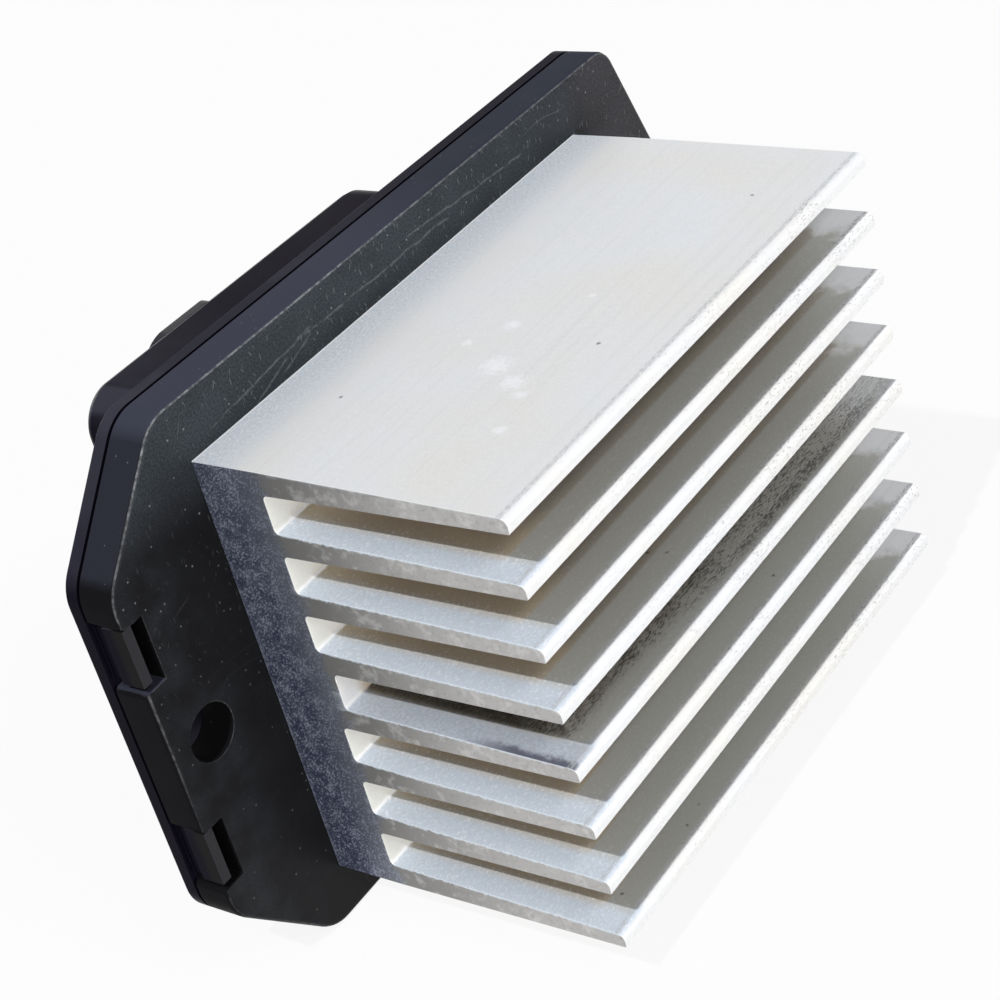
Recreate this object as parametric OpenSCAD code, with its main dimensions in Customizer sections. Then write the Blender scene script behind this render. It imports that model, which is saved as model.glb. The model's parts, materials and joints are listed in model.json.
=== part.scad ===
// Blower motor resistor of the electronic kind: a finned heat sink on a moulded plate, with the electronics
// behind it under a clip-on cover. Origin: middle of the plate's front face, halfway between its screw holes.
// +X runs along the plate, the fins point to -Y, the connector to +Y, and +Z is up. Sizes are millimetres.

/* [Heat sink] */
// Length of the extrusion
sink_l = 62; // [58:0.5:64]
// Depth from the plate to the fin tips
sink_d = 32.9; // [24:0.1:40]
// Number of fins
fin_count = 8; // [6:2:8]
// Distance from fin to fin
fin_pitch = 6.28; // [6:0.02:6.6]
// Fin thickness at the root
fin_root = 2.4; // [2:0.1:2.8]
// Fin thickness at the tip
fin_tip = 1.5; // [1.2:0.1:1.8]
// Thickness of the base under the fins
base_t = 7.2; // [6.6:0.1:9]
// Extra floor thickness in the middle channel, round the tapped holes
spine_t = 1.1; // [0.5:0.1:2]
// Fillet at the root of each fin
root_r = 0.5; // [0.2:0.1:0.8]
// Round on the upper corner of each fin tip
tip_r = 0.75; // [0.3:0.05:0.8]
// Round on the lower corner of each fin tip
tip_low_r = 0.25; // [0.1:0.05:0.35]
// Offset of the heat sink from the middle of the plate
sink_shift = -0.8; // [-2:0.1:1]

/* [Plate] */
// Length of the plate
plate_l = 90; // [88:0.5:100]
// Height of the plate
plate_h = 58; // [57.5:0.5:66]
// Near corners, length cut along the plate
near_cut_x = 10.4; // [7:0.1:12]
// Near corners, height cut off
near_cut_z = 11.2; // [7:0.1:12]
// Far corners, length cut along the plate
far_cut_x = 6.2; // [4:0.1:8]
// Far corners, height cut off
far_cut_z = 16.7; // [12:0.1:16.9]
// Corner radius at the near end
near_r = 4.5; // [3:0.1:6]
// Corner radius at the far end
far_r = 3; // [2.5:0.1:4]
// Depth from the front face to the parting line
housing_d = 3.9; // [3.6:0.1:5]
// Thickness of the front wall
front_t = 2; // [1.6:0.1:2.2]
// Thickness of the side wall
side_t = 1.8; // [1.4:0.1:2.2]
// Rounding of the front edge
edge_r = 0.5; // [0.3:0.1:0.8]

/* [Mounting holes] */
// Distance of each screw hole from the plate's end
hole_end = 5; // [4.6:0.1:6]
// Diameter of the screw holes
hole_d = 5.5; // [4.5:0.1:6]
// Wall of the boss round each hole
boss_wall = 1.75; // [1.2:0.05:2]

/* [Snap clips] */
// Height of the near clips above and below the middle
near_clip_z = 11.25; // [10.5:0.05:11.5]
// Height of the far clips above and below the middle
far_clip_z = 7.7; // [7.6:0.05:7.8]
// Width of a snap arm
arm_w = 6; // [5:0.1:6.1]
// Thickness of a snap arm
arm_t = 1.1; // [1:0.05:1.3]
// Inset of the arm's head from the plate's end
arm_in = 0.1; // [0.05:0.05:0.3]
// Depth of the arm's tip below the front face
arm_tip = 0.15; // [0.1:0.05:0.4]
// Length of the arm's head
head_l = 2.45; // [2.2:0.05:2.6]
// Inset of the arm's neck behind its head
neck_in = 0.5; // [0.3:0.05:0.6]
// Mean gap above and below an arm in its notch
notch_gap = 0.35; // [0.35:0.05:0.45]
// Height of an arm above the middle of its notch
arm_lift = 0.3; // [0:0.05:0.3]
// Corner radius of a notch at the plate's end
notch_r = 0.6; // [0.3:0.1:0.6]
// Reach of the barb and of the ledge that it catches
barb_h = 0.9; // [0.8:0.05:1]
// Room beyond the barb and beyond the ledge
barb_gap = 0.45; // [0.4:0.05:0.5]
// Thickness of the ledge that the barb catches
ledge_t = 1; // [0.8:0.1:1.2]
// Wall of the pocket round each notch
pocket_t = 1.4; // [1:0.1:1.6]

/* [Rear cover] */
// Thickness of the cover's rim
rim_t = 1.7; // [1.2:0.05:2]
// Height of the shadow line between rim and housing
reveal_h = 0.35; // [0.2:0.05:0.45]
// Depth of the shadow line
reveal_d = 0.5; // [0.3:0.05:0.6]
// Length of the raised body along the plate
body_l = 43.3; // [42:0.1:44]
// Height of the raised body
body_h = 54.6; // [52:0.1:55]
// Middle of the raised body along the plate
body_x = -10; // [-10.6:0.1:-9.4]
// Corner radius of the raised body
body_r = 4; // [3:0.1:5]
// Rounding of the cover's rear edges
rear_r = 1; // [0.6:0.1:1.4]
// Wall thickness of the cover
cover_t = 1.6; // [1.4:0.1:1.8]
// Height of the low step over the power transistor
step_h = 44; // [40:0.5:46]
// Thickness of the ribs that locate the cover in the housing
lip_t = 1; // [0.8:0.1:1.4]
// Depth of those ribs
lip_d = 1.3; // [0.8:0.1:1.5]
// Gap between those ribs and the side wall
lip_gap = 0.15; // [0.1:0.05:0.25]

/* [Connector] */
// Outer width of the shroud
shroud_w = 22; // [21:0.5:24]
// Outer height of the shroud
shroud_h = 15; // [14:0.5:16]
// Depth of the socket
shroud_d = 9.5; // [8:0.5:12]
// Wall of the shroud
shroud_t = 1.5; // [1.2:0.1:1.6]
// Corner radius of the shroud
shroud_r = 2.2; // [1.8:0.1:3]
// Middle of the shroud along the plate
shroud_x = -11.2; // [-12:0.1:-10]
// Height of the shroud's middle above the plate's middle
shroud_z = 13.1; // [12:0.1:14]
// Width of the lock ramp on top of the shroud
lock_w = 8.5; // [7:0.5:12]
// Height of the lock ramp
lock_h = 3; // [1.5:0.1:3.2]
// Rounding of the lock ramp's upper corners
lock_r = 1.5; // [0.8:0.1:2]
// Width of a power blade
power_w = 6.3; // [5.5:0.1:6.6]
// Thickness of a power blade
power_t = 0.8; // [0.6:0.05:1]
// Distance between the power blades
power_pitch = 9.5; // [9:0.1:10]
// Width of a signal blade
signal_w = 2.3; // [1.8:0.1:2.8]
// Thickness of a signal blade
signal_t = 0.64; // [0.5:0.02:0.8]
// Distance between the signal blades
signal_pitch = 6; // [5:0.1:8]
// Distance between the two rows of blades
row_pitch = 7; // [6:0.1:7.5]
// Depth of the blade tips below the shroud's mouth
blade_in = 2.5; // [1.5:0.1:3]

/* [Circuit board] */
// Length of the board along the plate
board_w = 33.5; // [33:0.1:34]
// Thickness of the board
board_t = 1.6; // [1.2:0.1:1.8]
// Height of the posts that carry the board
post_h = 3; // [2.8:0.1:3.6]
// Diameter of the posts
post_d = 5; // [4.4:0.1:5.4]
// Gap between the board and the cover's walls
board_gap = 0.8; // [0.5:0.1:1]
// Diameter of the board screws' shanks
board_screw_d = 2.2; // [2:0.1:2.6]
// Diameter of the board screws' heads
board_head_d = 4.6; // [4:0.1:5]
// Height of the board screws' heads
board_head_h = 1.6; // [1.2:0.1:2]

/* [Power transistor] */
// Width of the transistor
tr_w = 10; // [9:0.1:10.6]
// Length of its moulded body
tr_body_l = 9.2; // [8.6:0.1:9.6]
// Height of its moulded body above the tab
tr_body_h = 3.1; // [2.8:0.1:3.3]
// Length of the bare part of its tab
tr_tab_l = 6.6; // [6:0.1:7]
// Thickness of its tab
tr_tab_t = 1.3; // [1.1:0.05:1.5]
// Distance between its legs
lead_pitch = 2.54; // [2.3:0.02:2.8]
// Width of a leg
lead_w = 0.8; // [0.6:0.05:0.9]
// Thickness of a leg
lead_t = 0.5; // [0.4:0.05:0.6]
// Length from the body to the bend of its legs
lead_run = 3.5; // [3.2:0.1:4]
// Thickness of the insulating pad
pad_t = 0.3; // [0.2:0.05:0.4]
// Thickness of the bush's flange
bush_t = 0.8; // [0.6:0.1:1]
// Thickness of the washer
washer_t = 0.6; // [0.5:0.05:0.8]

/* [Screws in the heat sink] */
// Diameter of the screws' shanks
screw_d = 3; // [2.6:0.1:3.2]
// Diameter of the screws' heads
head_d = 5.5; // [5:0.1:5.8]
// Height of the screws' heads
head_h = 2; // [1.6:0.1:2.2]
// Length of the screws in the heat sink
screw_grip = 5.5; // [4:0.1:5.8]
// Distance of the near holding screw from the heat sink's end
near_screw_in = 5.6; // [5:0.1:7]
// Distance of the far holding screw from the heat sink's end
far_screw_in = 3.6; // [3.2:0.1:3.8]

/* [Capacitor] */
// Diameter of the can
cap_d = 6.3; // [5:0.1:6.5]
// Length of the can
cap_l = 11; // [9:0.1:11.5]
// Height of the can's middle above the board
cap_rise = 0.6; // [0.5:0.05:1]
// Distance between its legs
cap_pitch = 2.5; // [2:0.1:2.8]
// Diameter of its legs
cap_lead_d = 0.6; // [0.5:0.05:0.7]

/* [Thermal fuse] */
// Diameter of the fuse
fuse_d = 3.8; // [3:0.1:4]
// Length of the fuse
fuse_l = 9.2; // [8:0.1:10]
// Diameter of its wires
fuse_wire_d = 0.9; // [0.7:0.05:1]
// Distance between its two wires at the board
fuse_pitch = 4; // [3.4:0.1:4.4]

/* [Hidden] */
$fn = 48;

// Overlap that joins two forms of one solid
sink_in = 0.4;
// Overshoot of a cut past the face that it opens
over = 1;
// Smallest corner radius that an inset outline keeps
least_r = 0.2;
// Clearance of a fixed piece in its hole
fit = 0.05;
// Clearance of a screw or leg that passes through
pass = 0.15;

// Plate outline, counter-clockwise from the lower near corner, with a radius for each corner
near_x = -plate_l / 2;
far_x = plate_l / 2;
top_z = plate_h / 2;
plate_outline = [
  [near_x, near_cut_z - top_z], [near_x + near_cut_x, -top_z],
  [far_x - far_cut_x, -top_z], [far_x, far_cut_z - top_z],
  [far_x, top_z - far_cut_z], [far_x - far_cut_x, top_z],
  [near_x + near_cut_x, top_z], [near_x, top_z - near_cut_z]
];
plate_radii = [near_r, near_r, far_r, far_r, far_r, far_r, near_r, near_r];
hole_x = [near_x + hole_end, far_x - hole_end];

// Heat sink
sink_h = (fin_count - 1) * fin_pitch + fin_root;
sink_near_x = sink_shift - sink_l / 2;
sink_far_x = sink_shift + sink_l / 2;
middle_channel = fin_count / 2 - 1;
holding_x = [sink_near_x + near_screw_in, sink_far_x - far_screw_in];
tap_spare = 0.7;
tap_depth = screw_grip + tap_spare;

// Levels from the front face to the rear
room_gap = 0.75;
board_y = front_t + post_h;
board_rear_y = board_y + board_t;
rim_y = housing_d + rim_t;
part_room = cap_rise + cap_d / 2 + room_gap;
body_in_y = board_rear_y + part_room;
body_y = body_in_y + cover_t;
mouth_y = body_y + shroud_d;
blade_tip_y = mouth_y - blade_in;
tail_out = 0.9;
tail_y = board_y - tail_out;
lead_top_y = board_rear_y + tail_out;

// Room inside the raised body and the board in it
body_in_l = body_l - 2 * cover_t;
body_in_h = body_h - 2 * cover_t;
board_near_x = body_x - body_in_l / 2 + board_gap;
board_far_x = board_near_x + board_w;
board_h = body_in_h - 2 * board_gap;
board_r = max(body_r - cover_t - board_gap, least_r);
board_screw_inset = 3;
board_screw_drop = 4.6;
board_screw_z = board_h / 2 - board_screw_drop;
board_screw_at = [
  [board_near_x + board_screw_inset, board_screw_z], [board_far_x - board_screw_inset, -board_screw_z]
];
post_floor = 1;
screw_spare = 0.4;
board_screw_l = board_rear_y - post_floor - screw_spare;

// Power transistor, bolted to the heat sink through the window in the front wall
lead_inset = 1.5;
tab_hole_in = 2.8;
lead_lift = 0.85;
bush_wall = 0.3;
lead_x = board_far_x - lead_inset;
tr_x = lead_x + lead_run;
tr_tab_end = tr_x + tr_body_l + tr_tab_l;
tr_hole_x = tr_tab_end - tab_hole_in;
tab_y = pad_t;
tr_body_y = tab_y + tr_tab_t;
lead_y = tr_body_y + lead_lift;
bush_y = tr_body_y;
washer_y = bush_y + bush_t;
tr_head_y = washer_y + washer_t;
bush_r = screw_d / 2 + pass + bush_wall;
tab_hole_r = bush_r + fit;

// Thermal fuse, lying on the heat sink beside the transistor
fuse_aside = 4.1;
fuse_along = 2.5;
fuse_z = tr_w / 2 + fuse_aside + fuse_d / 2;
fuse_x = tr_x + fuse_along;
fuse_y = fuse_d / 2;
fuse_bend_r = 1.2;
fuse_loop_x = fuse_x + fuse_l + fuse_pitch / 2;

// Window in the front wall, round everything that lies on the heat sink
window_gap = 1.5;
window_near_x = lead_x - window_gap;
window_far_x = max(tr_tab_end, fuse_loop_x) + window_gap;
window_low_z = -tr_w / 2 - window_gap;
window_top_z = fuse_z + fuse_pitch + window_gap;

// Low step of the cover over the transistor and the far holding screw
step_in_y = max(tr_head_y + head_h, front_t + head_h, tr_body_y + tr_body_h) + room_gap;
step_y = step_in_y + cover_t;
step_far_x = holding_x[1] + head_d / 2 + room_gap + cover_t;
step_near_x = body_x;
step_in_h = step_h - 2 * cover_t;

// Blades
power_z = shroud_z - row_pitch / 2;
signal_z = shroud_z + row_pitch / 2;
power_at = [shroud_x - power_pitch / 2, shroud_x + power_pitch / 2];
signal_at = [shroud_x - signal_pitch / 2, shroud_x + signal_pitch / 2];
tail_share = 0.5;
tip_share = 0.15;
lock_back = 0.8;
lock_flat = 1;
lock_run = 2.2;
lock_undercut = 0.6;

// Snap clips
arm_in_x = arm_in + arm_t;
notch_w = arm_w + 2 * notch_gap;
notch_d = arm_in_x + barb_h + barb_gap;
ledge_y = housing_d - ledge_t;
barb_lead = 0.4;

// Parts on the board: places measured from the board's near edge and the plate's middle
cap_gap = 0.35;
cap_z = -board_h / 2 + cap_gap + cap_d / 2;
cap_y = board_rear_y + cap_rise;
cap_x = board_near_x + cap_gap;
cap_end_x = cap_x + cap_l;
bung_t = 1;
cap_lead_run = 1.2;
cap_bend_r = 0.5;
cap_lead_x = cap_end_x + bung_t + cap_lead_run;
shunt_in = 8;
shunt_z = 1;
shunt_at = [board_near_x + shunt_in, shunt_z];
shunt_l = 9;
shunt_w = 4;
shunt_t = 0.8;
shunt_h = 3;
shunt_foot = shunt_w / 2;
chip_in = 17;
chip_z = -7;
chip_at = [board_near_x + chip_in, chip_z];
chip_l = 4.9;
chip_w = 3.9;
chip_h = 1.45;
chip_pitch = 1.27;
chip_lift = 0.15;
diode_in = 6;
diode_z = -10;
diode_at = [board_near_x + diode_in, diode_z];
diode_l = 4.4;
diode_w = 3.6;
diode_h = 2.2;
small_l = 2;
small_w = 1.25;
small_pitch = 2.6;
small_in = 23;
resistor_z = -13;
resistor_at = [board_near_x + small_in, resistor_z];
resistor_count = 4;
resistor_h = 0.6;
capacitor_z = -7;
capacitor_at = [board_near_x + small_in, capacitor_z];
capacitor_count = 3;
capacitor_h = 1;

// Inward unit normal of the edge that leaves corner i of a counter-clockwise outline
function edge_normal(p, i) =
  let (e = p[(i + 1) % len(p)] - p[i]) [-e[1], e[0]] / norm(e);
// Corner i moved inwards by d from both of its edges
function inset_corner(p, i, d) =
  let (a = edge_normal(p, (i + len(p) - 1) % len(p)), b = edge_normal(p, i)) p[i] + d * (a + b) / (1 + a * b);
function inset(p, d) = [for (i = [0:len(p) - 1]) inset_corner(p, i, d)];
function less(radii, d) = [for (r = radii) max(r - d, least_r)];
function box_outline(w, h) = [[-w / 2, -h / 2], [w / 2, -h / 2], [w / 2, h / 2], [-w / 2, h / 2]];
function fin_z(i) = (i - (fin_count - 1) / 2) * fin_pitch;
function fin_half(y) = fin_root / 2 + (fin_root - fin_tip) / 2 * (y + base_t) / (sink_d - base_t);
function floor_y(i) = -base_t - (i == middle_channel ? spine_t : 0);

// Points of a counter-clockwise outline whose corners are arcs, in chords of about this many degrees
chord_turn = 6;
function arc_points(p, radii) = [
  for (i = [0:len(p) - 1])
    let (before = edge_normal(p, (i + len(p) - 1) % len(p)), after = edge_normal(p, i))
      let (start = atan2(-before[1], -before[0]), turn = acos(before * after))
        let (c = inset_corner(p, i, radii[i]), steps = ceil(turn / chord_turn))
          for (k = [0:steps])
            let (w = start + turn * k / steps) c + radii[i] * [cos(w), sin(w)]
];
// The plate's outline, drawn in by d
module plate_face(d) { polygon(arc_points(inset(plate_outline, d), less(plate_radii, d))); }
// Outline with round corners: the straight stretches, and a circle at each rounded corner
module rounded(p, radii) {
  count = len(p);
  polygon([
    for (i = [0:count - 1])
      let (c = inset_corner(p, i, radii[i]), before = edge_normal(p, (i + count - 1) % count))
        each [c - radii[i] * before, c - radii[i] * edge_normal(p, i)]
  ]);
  for (i = [0:count - 1])
    if (radii[i] > 0)
      translate(inset_corner(p, i, radii[i])) circle(radii[i]);
}
module rounded_box(w, h, r) { rounded(box_outline(w, h), [r, r, r, r]); }

// A flat outline in X and Z, made solid from one depth to another
module slab(from_y, to_y) {
  translate([0, to_y, 0]) rotate([90, 0, 0]) linear_extrude(height = to_y - from_y) children();
}
// A flat outline in Y and Z, made solid along X
module run(from_x, to_x) {
  translate([from_x, 0, 0]) rotate([90, 0, 90]) linear_extrude(height = to_x - from_x) children();
}
module rod_y(x, z, r, from_y, to_y) { slab(from_y, to_y) translate([x, z]) circle(r); }
module block(low, high) { translate(low) cube(high - low); }
// Cut for a w by t section with a clearance all round, through the wall from from_y to to_y
module slot(x, z, w, t, clear, from_y, to_y) {
  block([x - w / 2 - clear, from_y - over, z - t / 2 - clear],
    [x + w / 2 + clear, to_y + over, z + t / 2 + clear]);
}

// A round edge of radius r has two facets, which meet at this share of r from both faces
facet = 0.3;
// An outline made solid from one depth to another, with its edge at to_y rounded by r
module soft_slab(p, radii, from_y, to_y, r) {
  hull() {
    for (d = [[0, r], [r * facet, r * facet], [r, 0]])
      slab(from_y, to_y - d[1]) polygon(arc_points(inset(p, d[0]), less(radii, d[0])));
  }
}
module soft_box(w, h, r, from_y, to_y) {
  soft_slab(box_outline(w, h), [r, r, r, r], from_y, to_y, rear_r);
}

// Round wire along a path with right-angled corners, bent to radius r
function way(a, b) = (b - a) / norm(b - a);
module along(origin, x_dir, y_dir) {
  z_dir = cross(x_dir, y_dir);
  multmatrix([
    [x_dir[0], y_dir[0], z_dir[0], origin[0]],
    [x_dir[1], y_dir[1], z_dir[1], origin[1]],
    [x_dir[2], y_dir[2], z_dir[2], origin[2]],
    [0, 0, 0, 1]
  ]) children();
}
module wire(path, d, r) {
  last = len(path) - 1;
  for (i = [0:last - 1]) {
    w = way(path[i], path[i + 1]);
    side = [w[1], w[2], w[0]];
    from = i == 0 ? path[i] : path[i] + r * w;
    to = i == last - 1 ? path[i + 1] : path[i + 1] - r * w;
    along(from, side, cross(w, side)) cylinder(d = d, h = norm(to - from));
  }
  for (i = [1:last - 1]) {
    u = way(path[i - 1], path[i]);
    v = way(path[i], path[i + 1]);
    along(path[i] - r * u + r * v, -v, u) rotate_extrude(angle = 90) translate([r, 0]) circle(d = d);
  }
}

// Cross recess in a screw head, as shares of the head's width and height
cross_l = 0.6;
cross_w = 0.14;
cross_floor = 0.45;
// Screw with a domed head that seats at from_y and a shank that runs towards -Y
module screw(x, z, shank_d, shank_l, cap_w, cap_h, from_y) {
  translate([x, from_y, z]) rotate([-90, 0, 0]) {
    translate([0, 0, -shank_l]) cylinder(d = shank_d, h = shank_l + cap_h / 2);
    difference() {
      intersection() {
        cylinder(d = cap_w, h = cap_h);
        translate([0, 0, cap_h - cap_w]) sphere(d = cap_w * 2);
      }
      for (turn = [0, 90])
        rotate(turn) translate([-cap_w * cross_l / 2, -cap_w * cross_w / 2, cap_h * cross_floor])
          cube([cap_w * cross_l, cap_w * cross_w, cap_h]);
    }
  }
}

// Fillet between two faces that leave a corner in directions a and b, where b lies counter-clockwise from a
module cove(corner, a, b, r) {
  half = acos(a * b) / 2;
  reach = r / tan(half);
  centre = corner + (a + b) / norm(a + b) * r / sin(half);
  difference() {
    polygon([corner - sink_in * (a + b), corner + reach * a - sink_in * b, corner + reach * a, centre,
      corner + reach * b, corner + reach * b - sink_in * a]);
    translate(centre) circle(r);
  }
}

// Section of one fin, root to tip
module fin_section(i) {
  z = fin_z(i);
  rounded([
    [-sink_d, z - fin_tip / 2], [-base_t, z - fin_root / 2], [sink_in - base_t, z - fin_root / 2],
    [sink_in - base_t, z + fin_root / 2], [-base_t, z + fin_root / 2], [-sink_d, z + fin_tip / 2]
  ], [tip_low_r, 0, 0, 0, 0, tip_r]);
}
// Fillets at the floor of the channel above fin i
module channel_coves(i) {
  y = floor_y(i);
  rise = (fin_root - fin_tip) / 2;
  side = norm([sink_d - base_t, rise]);
  cove([y, fin_z(i) + fin_half(y)], [0, 1], [base_t - sink_d, -rise] / side, root_r);
  cove([y, fin_z(i + 1) - fin_half(y)], [base_t - sink_d, rise] / side, [0, -1], root_r);
}
module sink_section() {
  translate([-base_t, -sink_h / 2]) square([base_t, sink_h]);
  translate([floor_y(middle_channel), fin_z(middle_channel)]) square([spine_t + sink_in, fin_pitch]);
  for (i = [0:fin_count - 1]) fin_section(i);
  for (i = [0:fin_count - 2]) channel_coves(i);
}
module heat_sink() {
  color("lightgray") difference() {
    run(sink_near_x, sink_far_x) sink_section();
    for (x = concat(holding_x, tr_hole_x)) rod_y(x, 0, screw_d / 2 + fit, -tap_depth, sink_in);
  }
}

// Puts its children at each clip, with x running inwards from the plate's end and z from the clip's middle
module at_clips() {
  for (end = [-1, 1], up = [-1, 1])
    translate([end * plate_l / 2, 0, up * (end < 0 ? near_clip_z : far_clip_z)])
      mirror([end > 0 ? 1 : 0, 0, 0]) children();
}
module clip_pocket() {
  block([side_t - sink_in, front_t - sink_in, -notch_w / 2 - pocket_t],
    [notch_d + pocket_t, housing_d, notch_w / 2 + pocket_t]);
}
// Outline of a notch, with the plate's corners beside it rounded
module notch_face() {
  translate([-over, -notch_w / 2]) square([notch_d + over, notch_w]);
  for (up = [0, 1]) mirror([0, up]) cove([0, notch_w / 2], [1, 0], [0, 1], notch_r);
}
module clip_notch() {
  difference() {
    slab(-over, housing_d + over) notch_face();
    block([notch_d - barb_h, ledge_y, -notch_w], [notch_d + over, housing_d + 2 * over, notch_w]);
  }
}
module housing_shell() {
  difference() {
    mirror([0, 1, 0]) soft_slab(plate_outline, plate_radii, -housing_d, 0, edge_r);
    slab(front_t, housing_d + over) plate_face(side_t);
  }
}
module housing() {
  color("#2b3032") difference() {
    union() {
      housing_shell();
      at_clips() clip_pocket();
      for (x = hole_x) rod_y(x, 0, hole_d / 2 + boss_wall, front_t - sink_in, housing_d);
      for (at = board_screw_at) rod_y(at[0], at[1], post_d / 2, front_t - sink_in, board_y);
    }
    at_clips() clip_notch();
    for (x = hole_x) rod_y(x, 0, hole_d / 2, -over, housing_d + over);
    for (at = board_screw_at) rod_y(at[0], at[1], board_screw_d / 2 + fit, post_floor, board_y + over);
    for (x = holding_x) rod_y(x, 0, screw_d / 2 + pass, -over, front_t + over);
    block([window_near_x, -over, window_low_z], [window_far_x, front_t + over, window_top_z]);
  }
}

module snap_arm() {
  head_y = arm_tip + head_l;
  root_y = housing_d + reveal_h + sink_in;
  ramp_y = arm_tip + barb_lead;
  catch_y = ledge_y - fit;
  translate([0, 0, arm_lift - arm_w / 2]) linear_extrude(height = arm_w)
    polygon([[arm_in, arm_tip], [arm_in_x, arm_tip], [arm_in_x, ramp_y],
      [arm_in_x + barb_h, catch_y - barb_h], [arm_in_x + barb_h, catch_y], [arm_in_x, catch_y],
      [arm_in_x, root_y], [arm_in + neck_in, root_y], [arm_in + neck_in, head_y], [arm_in, head_y]]);
}
module lock_ramp() {
  base_z = shroud_z + shroud_h / 2;
  crest_z = base_z + lock_h;
  foot_y = mouth_y - lock_back;
  crest_y = foot_y - lock_run;
  back_y = crest_y - lock_flat;
  intersection() {
    run(shroud_x - lock_w, shroud_x + lock_w)
      polygon([[body_y - sink_in, base_z - sink_in], [foot_y, base_z - sink_in], [foot_y, base_z],
        [crest_y, crest_z], [back_y, crest_z], [back_y - lock_undercut, base_z + lock_h / 2],
        [body_y - sink_in, base_z + lock_h / 2]]);
    translate([shroud_x, 0, base_z]) slab(body_y - over, mouth_y) rounded_box(lock_w, 2 * lock_h, lock_r);
  }
}
module cover_rim() {
  difference() {
    slab(housing_d, rim_y) plate_face(0);
    difference() {
      slab(housing_d - over, housing_d + reveal_h) plate_face(-over);
      slab(housing_d - 2 * over, housing_d + over) plate_face(reveal_d);
    }
  }
}
module step_slab(from_y, to_y, near, far, h, r) {
  translate([(near + far) / 2, 0, 0]) slab(from_y, to_y) rounded_box(far - near, h, r);
}
module locating_rib(up) {
  rib_z = top_z - side_t - lip_gap;
  block([body_x - body_l / 2 + body_r, housing_d - lip_d, up > 0 ? rib_z - lip_t : -rib_z],
    [step_far_x, housing_d + sink_in, up > 0 ? rib_z : lip_t - rib_z]);
}
module cover_outside() {
  cover_rim();
  translate([body_x, 0, 0]) soft_box(body_l, body_h, body_r, rim_y - sink_in, body_y);
  translate([(step_near_x + step_far_x) / 2, 0, 0])
    soft_box(step_far_x - step_near_x, step_h, body_r, rim_y - sink_in, step_y);
  translate([shroud_x, 0, shroud_z])
    slab(body_y - sink_in, mouth_y) rounded_box(shroud_w, shroud_h, shroud_r);
  lock_ramp();
  at_clips() snap_arm();
  for (up = [-1, 1]) locating_rib(up);
}
module cover_inside() {
  translate([body_x, 0, 0])
    slab(housing_d - over, body_in_y) rounded_box(body_in_l, body_in_h, body_r - cover_t);
  step_slab(housing_d - over, step_in_y, step_near_x, step_far_x - cover_t, step_in_h, body_r - cover_t);
  translate([shroud_x, 0, shroud_z]) slab(body_y, mouth_y + over)
    rounded_box(shroud_w - 2 * shroud_t, shroud_h - 2 * shroud_t, shroud_r - shroud_t);
  for (x = power_at) slot(x, power_z, power_w, power_t, fit, body_in_y, body_y);
  for (x = signal_at) slot(x, signal_z, signal_w, signal_t, fit, body_in_y, body_y);
  for (x = hole_x) rod_y(x, 0, hole_d / 2, housing_d - over, rim_y + over);
}
module rear_cover() {
  color("#26262c") difference() {
    cover_outside();
    cover_inside();
  }
}

// Blade with a chamfered tip, shoulders that seat on the board and a tail through it
module terminal(x, z, w, t) {
  tip = w * tip_share;
  tail = w * tail_share;
  color("goldenrod") translate([x, 0, z - t / 2]) linear_extrude(height = t)
    polygon([[-w / 2, board_rear_y], [-tail / 2, board_rear_y], [-tail / 2, tail_y], [tail / 2, tail_y],
      [tail / 2, board_rear_y], [w / 2, board_rear_y], [w / 2, blade_tip_y - tip], [w / 2 - tip, blade_tip_y],
      [tip - w / 2, blade_tip_y], [-w / 2, blade_tip_y - tip]]);
}
module board_slot(x, z, w, t) { slot(x, z, w, t, pass, board_y, board_rear_y); }
module board_hole(x, z, r) { rod_y(x, z, r, board_y - over, board_rear_y + over); }

module circuit_board() {
  color("darkgreen") difference() {
    translate([(board_near_x + board_far_x) / 2, 0, 0])
      slab(board_y, board_rear_y) rounded_box(board_w, board_h, board_r);
    block([board_near_x - over, board_y - over, -board_h / 2 - over],
      [cap_end_x + bung_t + cap_gap, board_rear_y + over, cap_z + cap_d / 2 + cap_gap]);
    for (at = board_screw_at) board_hole(at[0], at[1], board_screw_d / 2 + pass);
    for (i = [-1:1]) board_hole(lead_x, i * lead_pitch, norm([lead_w, lead_t]) / 2 + fit);
    for (i = [0, 1]) board_hole(lead_x, fuse_z + i * fuse_pitch, fuse_wire_d / 2 + pass);
    for (i = [-1, 1]) board_hole(cap_lead_x, cap_z + i * cap_pitch / 2, cap_lead_d / 2 + pass);
    for (x = power_at) board_slot(x, power_z, power_w * tail_share, power_t);
    for (x = signal_at) board_slot(x, signal_z, signal_w * tail_share, signal_t);
    for (end = [-1, 1])
      board_slot(shunt_at[0] + end * (shunt_l - shunt_t) / 2, shunt_at[1], shunt_t, shunt_foot);
  }
}
module board_screws() {
  color("silver")
    for (at = board_screw_at)
      screw(at[0], at[1], board_screw_d, board_screw_l, board_head_d, board_head_h, board_rear_y);
}
module sink_screws() {
  color("silver")
    for (x = holding_x) screw(x, 0, screw_d, front_t + screw_grip, head_d, head_h, front_t);
}

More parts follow.
